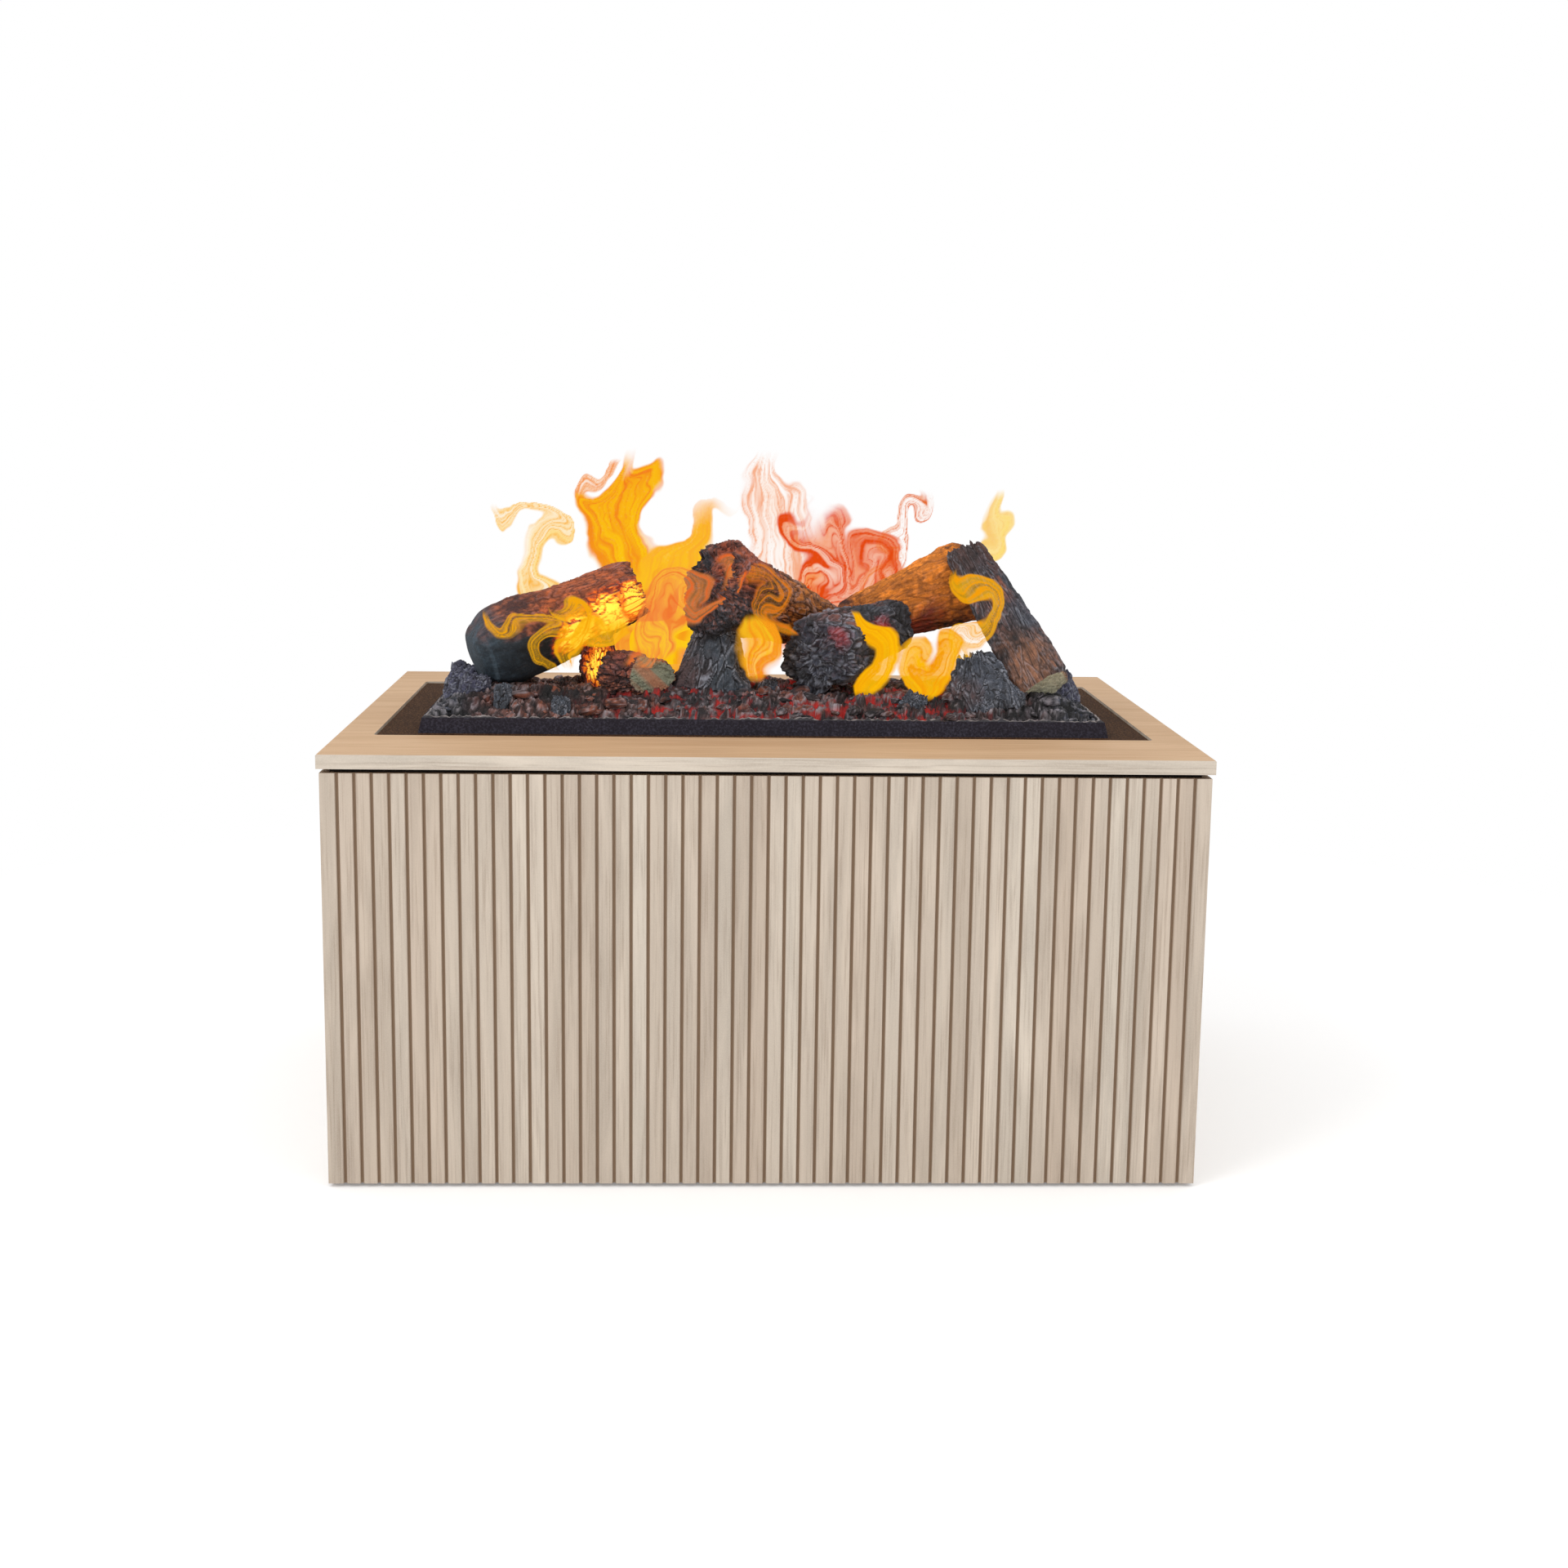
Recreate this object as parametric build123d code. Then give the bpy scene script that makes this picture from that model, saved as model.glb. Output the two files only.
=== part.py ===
from build123d import *
import math
import os

# Water vapour electric fireplace: a fluted oak-look cabinet that holds a mist
# cassette, with a lift-off bed of moulded logs and embers on a dark cover plate.
# Millimetres. The origin is on the floor under the middle of the cabinet.
# +X is to the right of the front, +Y runs back from the front, +Z is up.

# Cabinet
slab_width = 1000.0
slab_depth = 750.0
slab_thickness = 16.0
overall_height = 500.0
slab_overhang = 3.0
slab_edge_break = 0.8
shadow_gap = 5.0
shadow_recess = 10.0
shadow_rail_width = 36.0
panel_thickness = 16.0
base_thickness = 16.0
glide_height = 4.0
glide_radius = 15.0
glide_inset = 60.0
post_size = 30.0
rail_height = 60.0
rail_width = 40.0
rail_reach = 120.0

screw_shank_radius = 2.0
screw_head_radius = 4.5
screw_head_height = 2.4
screw_length = 36.0
screw_lift = 40.0

# Fluting of the front and side panels
front_flutes = 52
groove_width = 4.8
groove_floor = 1.6
groove_depth = 3.4

# Opening in the top and the rebate that the dark plate lies in
opening_width = 916.0
opening_depth = 489.0
opening_front_margin = 147.0
opening_corner_radius = 5.0
rebate_width = 20.0
plate_thickness = 2.0
plate_recess = 2.0
plate_clearance = 2.0

# Mist slots through the ember bed, over one window in the tray and the plate
slot_count = 3
slot_length = 200.0
slot_width = 32.0
slot_spacing = 220.0
slot_y = 66.0
slot_step = 2.0

# Cassette
tub_width = 860.0
tub_front_gap = 8.0
tub_depth = 433.0
tub_height = 222.0
tub_wall = 1.5
basin_width = 690.0
basin_depth = 282.0
basin_height = 110.0
basin_wall = 3.0
basin_front_gap = 8.5
hood_wall = 2.5
hood_throat_height = 24.0
transducer_count = 6
transducer_radius = 20.0
transducer_height = 12.0
transducer_well_radius = 12.0
transducer_well_depth = 4.8
light_bar_width = 14.0
light_bar_height = 8.0
tank_width = 500.0
tank_depth = 128.0
tank_height = 194.0
tank_wall = 3.0
tank_gap = 8.0

# Filler lid in the plate
lid_width = 180.0
lid_depth = 68.0
lid_clearance = 1.0
lid_back_margin = 1.5
lid_barrel_radius = 2.5
lid_barrel_length = 90.0
lid_leaf = 3.0
lid_pin_radius = 1.2
lid_end_gap = 0.5
lid_block_length = 11.5
filler_flange_margin = 8.0
filler_neck_radius = 20.0
filler_wall = 2.0
filler_mouth_side = 40.0
filler_mouth_front = 12.0
filler_collar = 2.0
filler_spout = 12.0
lid_notch_radius = 9.0

# Fans
fan_size = 80.0
fan_depth = 25.0
fan_bore_radius = 37.5
fan_tip_clearance = 1.5
fan_hub_radius = 16.0
fan_hub_length = 17.5
fan_strut = 4.0
fan_play = 0.5
fan_corner_radius = 5.0
fan_shaft_radius = 2.0
fan_blades = 7
fan_blade_thickness = 1.6
fan_blade_pitch = 38.0
fan_blade_share = 0.62
fan_y = -50.0

# Float, tap and feed pipe
float_radius = 20.0
float_height = 16.0
float_edge_radius = 3.0
float_rod_radius = 3.0
float_foot_radius = 9.0
float_stop_radius = 6.0
float_stop_height = 4.0
float_travel = 120.0
float_x = -200.0
tap_x = -150.0
tap_rise = 24.0
tap_radius = 8.0
tap_length = 40.0
tap_stem_radius = 5.6
tap_bore_radius = 3.2
tap_spout_radius = 6.4
tap_spout_wall = 2.4
tap_spout_drop = 22.0
tap_spindle_radius = 3.6
tap_spindle_top = 16.0
tap_lever_hub_radius = 7.2
tap_lever_reach = 34.0
tap_lever_half_width = 4.0
tap_lever_thickness = 6.0
tap_lever_cap = 2.0
pipe_radius = 6.0
pipe_wall = 1.5
pipe_reach = 2.0

# Control box on the back of the cassette
box_width = 180.0
box_height = 120.0
box_depth = 40.0
box_x = 150.0
box_lift = 26.0
box_corner_radius = 6.0
display_width = 80.0
display_height = 30.0
display_shift = -20.0
display_margin = 16.0
display_depth = 2.0
button_shift = -30.0
button_rise = 30.0
button_edge_radius = 1.2
button_floor_gap = 0.5
button_radius = 6.0
button_length = 8.0
button_proud = 2.5
button_travel = 1.5
button_spacing = 26.0
knob_shift = 50.0
knob_rise = 36.0
knob_radius = 16.0
knob_depth = 14.0
knob_edge_radius = 2.0
knob_grooves = 12
knob_groove_radius = 1.8
knob_pointer_width = 3.0
knob_pointer_height = 1.5
knob_shaft_radius = 3.0
knob_shaft_length = 9.8

# Service door in the back panel
door_width = 520.0
door_height = 330.0
door_bottom = 50.0
door_gap = 2.0
door_pin_radius = 3.0
door_pin_length = 12.0
door_pin_play = 0.5
door_collar_radius = 6.0
finger_hole_radius = 16.0
finger_hole_inset = 48.0
catch_drop = 110.0
catch_edge_gap = 1.0
catch_length = 62.0
catch_height = 16.0
catch_depth = 14.0
strike_thickness = 2.0
strike_width = 20.0

# Mains inlet and rocker on the back panel
inlet_plate_width = 50.0
inlet_plate_height = 88.0
inlet_plate_thickness = 2.6
inlet_plate_corner = 4.0
inlet_plate_lip = 5.0
inlet_x = 400.0
inlet_z = 90.0
inlet_body_depth = 26.0
socket_drop = 20.0
socket_width = 24.0
socket_height = 16.5
socket_depth = 17.0
socket_corner = 5.0
inlet_pin_length = 12.0
inlet_pin_width = 2.0
inlet_pin_height = 4.0
inlet_pin_spread = 7.0
inlet_pin_offset = 2.5
rocker_rise = 22.0
rocker_side_gap = 0.5
rocker_end_gap = 0.8
rocker_well_gap = 4.0
rocker_bevel = 4.05
rocker_width = 13.0
rocker_height = 20.0
rocker_depth = 9.0
rocker_swing = 14.0
rocker_pivot_radius = 1.5

# Vent grille on the back panel
grille_width = 150.0
grille_height = 70.0
grille_slats = 9
grille_lip = 6.0
grille_lip_thickness = 1.5
grille_wall = 2.0
grille_drop = 105.0

# Fits
running_clearance = 0.05
seat_clearance = 0.3

# Fuel bed
tray_width = 820.0
tray_depth = 350.0
tray_front_gap = 28.0
tray_height = 18.0
tray_batter = 4.0
tray_wall = 3.0
bed_rise = 40.0
bed_drop = 3.0
plateau_side = 56.0
plateau_front = 46.0
plateau_depth = 110.0
rubble_pitch = 46.0
rubble_size = 15.0
rubble_jitter = 16.0
rubble_gap = 0.5
flame_thickness = 2.5
flame_sink = 3.0

# Places worked out from the sizes above
body_width = slab_width - 2 * slab_overhang
body_depth = slab_depth - 2 * slab_overhang
body_bottom = glide_height
slab_bottom = overall_height - slab_thickness
body_top = slab_bottom - shadow_gap
front_face = -body_depth / 2
back_face = body_depth / 2
inner_front = front_face + panel_thickness
inner_back = back_face - panel_thickness
inner_side = body_width / 2 - panel_thickness
base_top = body_bottom + base_thickness
opening_front = -slab_depth / 2 + opening_front_margin
opening_back = opening_front + opening_depth
plate_top = overall_height - plate_recess
plate_bottom = plate_top - plate_thickness
tub_front = opening_front + rebate_width + tub_front_gap
tub_back = tub_front + tub_depth
tub_bottom = plate_bottom - tub_height
basin_bottom = tub_bottom + tub_wall
basin_front = tub_front + basin_front_gap
basin_back = basin_front + basin_depth
basin_top = basin_bottom + basin_height
tank_front = basin_back + tank_gap
tank_back = tank_front + tank_depth
tank_top = basin_bottom + tank_height
lid_back = tub_back - tub_wall - filler_flange_margin - lid_back_margin
lid_front = lid_back - lid_depth
lid_axis_y = lid_back + lid_clearance + lid_barrel_radius
lid_axis_z = plate_top + lid_barrel_radius + seat_clearance
fan_z = basin_top - fan_size / 2
fan_x = basin_width / 2
tap_z = basin_bottom + tap_rise
box_bottom = tub_bottom + box_lift
box_face = tub_back + box_depth
door_pivot_x = door_width / 2 - door_gap - panel_thickness / 2
door_pivot_y = back_face - panel_thickness / 2
door_top = door_bottom + door_height
tray_bottom = plate_top
tray_front = opening_front + tray_front_gap
tray_back = tray_front + tray_depth
tray_rim = tray_bottom + tray_height
bed_edge = tray_rim - bed_drop
plateau = plate_top + bed_rise


def block(x0, x1, y0, y1, z0, z1):
    """A box between two corners."""
    middle = ((x0 + x1) / 2, (y0 + y1) / 2, (z0 + z1) / 2)
    return Pos(*middle) * Box(x1 - x0, y1 - y0, z1 - z0)


def rod(x, y, z0, z1, radius):
    """An upright cylinder."""
    return Pos(x, y, (z0 + z1) / 2) * Cylinder(radius, z1 - z0)


def rod_along_y(x, z, y0, y1, radius):
    """A level cylinder that runs from front to back."""
    return Pos(x, (y0 + y1) / 2, z) * Rot(90, 0, 0) * Cylinder(radius, y1 - y0)


def rod_along_x(y, z, x0, x1, radius):
    """A level cylinder that runs from left to right."""
    return Pos((x0 + x1) / 2, y, z) * Rot(0, 90, 0) * Cylinder(radius, x1 - x0)


def flat_rectangle(x0, x1, y0, y1, z):
    """A level rectangle, to be lofted."""
    middle = ((x0 + x1) / 2, (y0 + y1) / 2, z)
    return Pos(*middle) * Rectangle(x1 - x0, y1 - y0)


def frustum(low, high):
    """A solid between two level rectangles, each (x0, x1, y0, y1, z)."""
    return loft([flat_rectangle(*low), flat_rectangle(*high)], ruled=True)


def save(name, shape):
    """Writes one node; several separate solids go out together."""
    export_step(shape, f"parts/{name}.step")


def group(solids):
    """Separate solids that share one node."""
    return Compound(children=list(solids))


def slot_centres():
    """The middles of the mist slots, from left to right."""
    first = -(slot_count - 1) / 2 * slot_spacing
    return [first + i * slot_spacing for i in range(slot_count)]


def slot_cutter(z0, z1):
    """The mist slots as solids."""
    half_length = slot_length / 2
    half_width = slot_width / 2
    cuts = [
        block(x - half_length, x + half_length, slot_y - half_width, slot_y + half_width, z0, z1)
        for x in slot_centres()
    ]
    return Compound(children=cuts)


def mist_window(growth):
    """The four sides (x0, x1, y0, y1) of the window that all the slots share,
    each moved out by the given growth."""
    half_length = slot_centres()[-1] + slot_length / 2 + growth
    half_width = slot_width / 2 + growth
    return (-half_length, half_length, slot_y - half_width, slot_y + half_width)


def fluted_board(length, flutes):
    """A board on its lower edge with its fluted face towards -Y and the
    middle of that face at the origin. Each groove is a shallow trapezium."""
    pitch = length / flutes
    outline = [(length / 2, panel_thickness), (-length / 2, panel_thickness), (-length / 2, 0)]
    for i in range(1, flutes):
        centre = -length / 2 + i * pitch
        outline.append((centre - groove_width / 2, 0))
        outline.append((centre - groove_floor / 2, groove_depth))
        outline.append((centre + groove_floor / 2, groove_depth))
        outline.append((centre + groove_width / 2, 0))
    outline.append((length / 2, 0))
    face = make_face(Polyline(*outline, close=True))
    return extrude(face, body_top - body_bottom)


def top_frame():
    """The slab, with its opening and the rebate round it for the plate."""
    x, y = slab_width / 2, slab_depth / 2
    slab = block(-x, x, -y, y, slab_bottom, overall_height)
    rims = [edge for edge in slab.edges() if abs(edge.center().Z - overall_height) < 0.01]
    slab = chamfer(rims, slab_edge_break)
    middle_y = (opening_front + opening_back) / 2
    upper = RectangleRounded(opening_width, opening_depth, opening_corner_radius)
    lower = Rectangle(opening_width - 2 * rebate_width, opening_depth - 2 * rebate_width)
    slab -= Pos(0, middle_y, plate_bottom) * extrude(upper, slab_thickness)
    slab -= Pos(0, middle_y, slab_bottom - 1) * extrude(lower, slab_thickness)
    return slab


def shadow_gap_rails():
    """Four dark rails that lift the slab off the panels."""
    outer_x = body_width / 2 - shadow_recess
    outer_y = body_depth / 2 - shadow_recess
    inner_y = outer_y - shadow_rail_width
    rails = []
    for side in (-1, 1):
        low_y, high_y = sorted((side * inner_y, side * outer_y))
        rails.append(block(-outer_x, outer_x, low_y, high_y, body_top, slab_bottom))
        low_x, high_x = sorted((side * (outer_x - shadow_rail_width), side * outer_x))
        rails.append(block(low_x, high_x, -inner_y, inner_y, body_top, slab_bottom))
    return group(rails)


def front_panel():
    """The fluted front, as wide as the body."""
    return Pos(0, front_face, body_bottom) * fluted_board(body_width, front_flutes)


def side_panel(side):
    """A fluted side, between the front and back panels; side is -1 or 1."""
    length = inner_back - inner_front
    flutes = round(length / (body_width / front_flutes))
    turn = 90 * side
    return Pos(side * body_width / 2, 0, body_bottom) * Rot(0, 0, turn) * fluted_board(length, flutes)


def post_places():
    """The corner posts' middles."""
    x = inner_side - post_size / 2
    front_y = inner_front + post_size / 2
    back_y = inner_back - post_size / 2
    return [(sx * x, y) for sx in (-1, 1) for y in (front_y, back_y)]


def corner_posts():
    """Four square posts that the panels are fixed to."""
    half = post_size / 2
    posts = [block(x - half, x + half, y - half, y + half, base_top, body_top) for x, y in post_places()]
    return group(post - screw_shanks() for post in posts)


def screw_places():
    """Where the back panel is screwed to its posts."""
    x = inner_side - post_size / 2
    return [(sx * x, z) for sx in (-1, 1) for z in (base_top + screw_lift, body_top - screw_lift)]


def screw_shanks():
    """The clearance holes of the back panel's screws."""
    start = back_face - screw_length
    radius = screw_shank_radius + running_clearance
    shanks = [rod_along_y(x, z, start - 1, back_face + 1, radius) for x, z in screw_places()]
    return Compound(children=shanks)


def panel_screws():
    """Dome-headed screws of the back panel."""
    screws = []
    for x, z in screw_places():
        shank = rod_along_y(x, z, back_face - screw_length, back_face + 0.1, screw_shank_radius)
        head = rod_along_y(x, z, back_face, back_face + screw_head_height, screw_head_radius)
        rim = [edge for edge in head.edges() if edge.center().Y > back_face + 0.1]
        screws.append(shank + chamfer(rim, screw_head_height / 2))
    return group(screws)


def rear_panel():
    """The plain back, open for the door, the grille and the mains inlet."""
    half = body_width / 2
    panel = block(-half, half, inner_back, back_face, body_bottom, body_top)
    through = (inner_back - 1, back_face + 1)
    panel -= block(-door_width / 2, door_width / 2, *through, door_bottom, door_top)
    panel -= grille_body(seat_clearance)
    panel -= inlet_body(seat_clearance)
    panel -= screw_shanks()
    for z0, z1 in door_pin_spans():
        panel -= rod(door_pivot_x, door_pivot_y, z0, z1, door_pin_radius + running_clearance)
    return panel


def base_board():
    """The floor of the cabinet, between the panels."""
    return block(-inner_side, inner_side, inner_front, inner_back, body_bottom, base_top)


def glides():
    """Round plastic glides under the base board."""
    x = body_width / 2 - glide_inset
    y = body_depth / 2 - glide_inset
    return group(rod(sx * x, sy * y, 0, glide_height, glide_radius) for sx in (-1, 1) for sy in (-1, 1))


def cassette_rails():
    """Two boards across the cabinet that carry the cassette."""
    half = rail_width / 2
    rails = []
    for side in (-1, 1):
        y = (tub_front + tub_back) / 2 + side * rail_reach
        y0, y1 = y - half, y + half
        rails.append(block(-inner_side, inner_side, y0, y1, tub_bottom - rail_height, tub_bottom))
    return group(rails)


def cover_plate():
    """The dark plate in the rebate, with the mist window and the lid's cut-out."""
    x = opening_width / 2 - plate_clearance
    y0 = opening_front + plate_clearance
    y1 = opening_back - plate_clearance
    through = (plate_bottom - 1, plate_top + 1)
    half = lid_width / 2 + lid_clearance
    plate = block(-x, x, y0, y1, plate_bottom, plate_top)
    plate -= block(*mist_window(2 * slot_step), *through)
    return plate - block(-half, half, lid_front - lid_clearance, lid_back + lid_clearance, *through)


def cassette_tub():
    """The folded steel tub, open upwards, with holes for the tap and the wiring."""
    x = tub_width / 2
    tub = block(-x, x, tub_front, tub_back, tub_bottom, plate_bottom)
    inner = x - tub_wall
    tub -= block(-inner, inner, tub_front + tub_wall, tub_back - tub_wall, basin_bottom, plate_bottom + 1)
    back_wall = (tub_back - 2 * tub_wall, tub_back + 1)
    return tub - rod_along_y(tap_x, tap_z, *back_wall, tap_radius + seat_clearance)


def sump_basin():
    """The open water basin, with a round port in each end for a fan."""
    x = basin_width / 2
    basin = block(-x, x, basin_front, basin_back, basin_bottom, basin_top)
    cavity = (basin_front + basin_wall, basin_back - basin_wall, basin_bottom + basin_wall, basin_top + 1)
    basin -= block(-x + basin_wall, x - basin_wall, *cavity)
    basin -= rod_along_x(fan_y, fan_z, -x - 1, x + 1, fan_bore_radius)
    back_wall = (basin_back - 2 * basin_wall, basin_back + 1)
    return basin - rod_along_y(0, tap_z, *back_wall, pipe_radius + running_clearance)


def hood_form(inset):
    """The hood's outer form, or its hollow when moved in by a wall."""
    x = basin_width / 2 - inset
    throat = mist_window(2 * slot_step + hood_wall - inset)
    throat_bottom = plate_bottom - hood_throat_height
    foot = (-x, x, basin_front + inset, basin_back - inset, basin_top)
    funnel = frustum(foot, (*throat, throat_bottom))
    return funnel + block(*throat, throat_bottom, plate_bottom)


def mist_hood():
    """A funnel and an upright throat that lead the mist from the basin to the slots."""
    return hood_form(0) - hood_form(hood_wall)


def mist_transducers():
    """Ultrasonic discs on the basin's floor, each with a raised rim."""
    spacing = basin_width / transducer_count
    floor = basin_bottom + basin_wall
    discs = []
    for i in range(transducer_count):
        x = (i - (transducer_count - 1) / 2) * spacing
        y = slot_y - 2 * transducer_radius
        top = floor + transducer_height
        disc = rod(x, y, floor, top, transducer_radius)
        discs.append(disc - rod(x, y, top - transducer_well_depth, top + 1, transducer_well_radius))
    return group(discs)


def light_bars():
    """Two strips of lamps under the plate, one each side of the hood's throat."""
    half = basin_width / 2 - fan_depth
    throat_half = slot_width / 2 + 2 * slot_step + hood_wall
    bottom = plate_bottom - light_bar_height
    bars = []
    for side in (-1, 1):
        inner = throat_half + slot_step
        near, far = sorted((slot_y + side * inner, slot_y + side * (inner + light_bar_width)))
        bars.append(block(-half, half, near, far, bottom, plate_bottom))
    return group(bars)


def fan_housing(side):
    """A square fan frame with a round bore, struts, a motor disc and its shaft."""
    x0 = side * fan_x
    x1 = side * (fan_x + fan_depth)
    low, high = sorted((x0, x1))
    half = fan_size / 2
    frame = block(low, high, fan_y - half, fan_y + half, fan_z - half, fan_z + half)
    frame = fillet(frame.edges().filter_by(Axis.X), fan_corner_radius)
    frame -= rod_along_x(fan_y, fan_z, low - 1, high + 1, fan_bore_radius)
    motor_low, motor_high = sorted((x1, x1 - side * fan_strut))
    bar = Box(fan_strut, 2 * fan_bore_radius + fan_strut / 2, fan_strut)
    for arm in range(2):
        frame += Pos((motor_low + motor_high) / 2, fan_y, fan_z) * Rot(45 + 90 * arm, 0, 0) * bar
    frame += rod_along_x(fan_y, fan_z, motor_low, motor_high, fan_hub_radius)
    shaft_low, shaft_high = sorted((side * (fan_x + fan_strut), x1 - side * fan_strut / 2))
    return frame + rod_along_x(fan_y, fan_z, shaft_low, shaft_high, fan_shaft_radius)


def fan_impeller(side):
    """A hub with pitched blades that turns on the housing's shaft."""
    hub_end = fan_x + fan_depth - fan_strut - fan_play
    hub_low, hub_high = sorted((side * (hub_end - fan_hub_length), side * hub_end))
    hub = rod_along_x(fan_y, fan_z, hub_low, hub_high, fan_hub_radius)
    tip_radius = fan_bore_radius - fan_tip_clearance
    span = tip_radius - fan_hub_radius / 2
    middle = (hub_low + hub_high) / 2
    chord = fan_blade_share * fan_hub_length / math.sin(math.radians(fan_blade_pitch))
    blade = Pos(0, 0, fan_hub_radius / 2 + span / 2) * Rot(0, 0, fan_blade_pitch * side)
    blade = blade * Box(fan_blade_thickness, chord, span)
    limit = rod_along_x(0, 0, -fan_depth, fan_depth, tip_radius)
    blade = blade & limit
    impeller = hub
    for i in range(fan_blades):
        impeller += Pos(middle, fan_y, fan_z) * Rot(360 / fan_blades * i, 0, 0) * blade
    bore = fan_shaft_radius + running_clearance
    impeller -= rod_along_x(fan_y, fan_z, hub_low - 1, hub_high + 1, bore)
    return impeller


def water_tank():
    """The closed tank behind the basin, open at the filler and its pipes."""
    x = tank_width / 2
    tank = block(-x, x, tank_front, tank_back, basin_bottom, tank_top)
    w = tank_wall
    tank -= block(-x + w, x - w, tank_front + w, tank_back - w, basin_bottom + w, tank_top - w)
    tank -= rod(0, filler_y(), tank_top - 2 * w, tank_top + 1, filler_neck_radius + seat_clearance)
    tank -= rod_along_y(0, tap_z, tank_front - 1, tank_front + 2 * w, pipe_radius + running_clearance)
    tap_bore = tap_stem_radius + running_clearance
    return tank - rod_along_y(tap_x, tap_z, tank_back - 2 * w, tank_back + 1, tap_bore)


def filler_y():
    """The filler neck's middle, from front to back."""
    return (lid_front + lid_back) / 2


def filler_form(inset):
    """The funnel's outer form below its flange, or its hollow when moved in by a wall."""
    y = filler_y()
    flange_bottom = plate_bottom - filler_wall
    collar = tank_top + filler_collar
    width = lid_width - filler_mouth_side - 2 * inset
    depth = lid_depth - filler_mouth_front - 2 * inset
    mouth = Pos(0, y, flange_bottom) * RectangleRounded(width, depth, filler_neck_radius / 2 - inset)
    spout = Pos(0, y, collar) * Circle(filler_neck_radius - inset)
    return loft([mouth, spout]) + rod(0, y, tank_top - filler_spout, collar, filler_neck_radius - inset)


def filler_neck():
    """A funnel under the lid: a flange, a tapered throat and a round spout."""
    x = lid_width / 2 + filler_flange_margin
    y0 = lid_front - filler_flange_margin
    y1 = lid_back + filler_flange_margin
    flange_bottom = plate_bottom - filler_wall
    neck = block(-x, x, y0, y1, flange_bottom, plate_bottom) + filler_form(0)
    width = lid_width - filler_mouth_side - 2 * filler_wall
    depth = lid_depth - filler_mouth_front - 2 * filler_wall
    mouth = RectangleRounded(width, depth, filler_neck_radius / 2 - filler_wall)
    neck -= Pos(0, filler_y(), flange_bottom) * extrude(mouth, filler_wall)
    neck -= rod(0, filler_y(), tank_top - filler_spout - 1, tank_top, filler_neck_radius - filler_wall)
    return neck - filler_form(filler_wall)


def feed_pipe():
    """The short pipe from the tank to the basin."""
    y0 = basin_back - basin_wall - pipe_reach
    y1 = tank_front + tank_wall + pipe_reach
    pipe = rod_along_y(0, tap_z, y0, y1, pipe_radius)
    return pipe - rod_along_y(0, tap_z, y0 - 1, y1 + 1, pipe_radius - pipe_wall)


def float_y():
    """The float rod's place, in the middle of the tank."""
    return (tank_front + tank_back) / 2


def float_guide():
    """The rod that the level float slides on, with its foot and top stop."""
    floor = basin_bottom + tank_wall
    top = tank_top - tank_wall
    rest = floor + float_stop_height
    stop = rest + float_height + float_travel
    guide = rod(float_x, float_y(), floor, top, float_rod_radius)
    guide += rod(float_x, float_y(), floor, rest, float_foot_radius)
    return guide + rod(float_x, float_y(), stop, stop + float_stop_height, float_stop_radius)


def level_float():
    """A plastic ring that rides on the water."""
    bottom = basin_bottom + tank_wall + float_stop_height
    top = bottom + float_height
    ring = rod(float_x, float_y(), bottom, top, float_radius)
    rims = [edge for edge in ring.edges() if edge.geom_type == GeomType.CIRCLE]
    ring = fillet(rims, float_edge_radius)
    return ring - rod(float_x, float_y(), bottom - 1, top + 1, float_rod_radius + running_clearance)


def tap_body():
    """The drain tap: a stem through the tub, a square body and a turned-down spout."""
    start = tank_back - tank_wall - pipe_reach
    end = tub_back + tap_length
    spout_y = end - tap_radius
    spout_end = tap_z - tap_spout_drop
    stem = rod_along_y(tap_x, tap_z, start, tank_back + 0.1, tap_stem_radius)
    stem += rod_along_y(tap_x, tap_z, tank_back, end, tap_radius)
    stem += rod(tap_x, spout_y, spout_end, tap_z, tap_spout_radius)
    stem -= rod(tap_x, spout_y, spout_end - 1, tap_z, tap_spout_radius - tap_spout_wall)
    stem -= rod_along_y(tap_x, tap_z, start - 1, spout_y, tap_bore_radius)
    spindle_y = tub_back + tap_length / 2
    return stem + rod(tap_x, spindle_y, tap_z, tap_z + tap_spindle_top, tap_spindle_radius)


def tap_lever():
    """The quarter-turn lever on the tap's stem; its blade lies across the tap when shut."""
    y = tub_back + tap_length / 2
    low = tap_z + tap_radius + seat_clearance
    spindle_top = tap_z + tap_spindle_top
    top = spindle_top + tap_lever_cap
    blade = (top - tap_lever_thickness, top)
    end = tap_x + tap_lever_reach
    lever = rod(tap_x, y, low, top, tap_lever_hub_radius)
    lever += block(tap_x, end, y - tap_lever_half_width, y + tap_lever_half_width, *blade)
    lever += rod(end, y, *blade, tap_lever_half_width)
    return lever - rod(tap_x, y, low - 1, spindle_top, tap_spindle_radius + running_clearance)


def button_places():
    """The three push buttons' middles on the control box."""
    z = box_bottom + button_rise
    return [(box_x + button_shift + (i - 1) * button_spacing, z) for i in range(3)]


def knob_place():
    """The flame knob's middle on the control box."""
    return box_x + knob_shift, box_bottom + knob_rise


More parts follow.
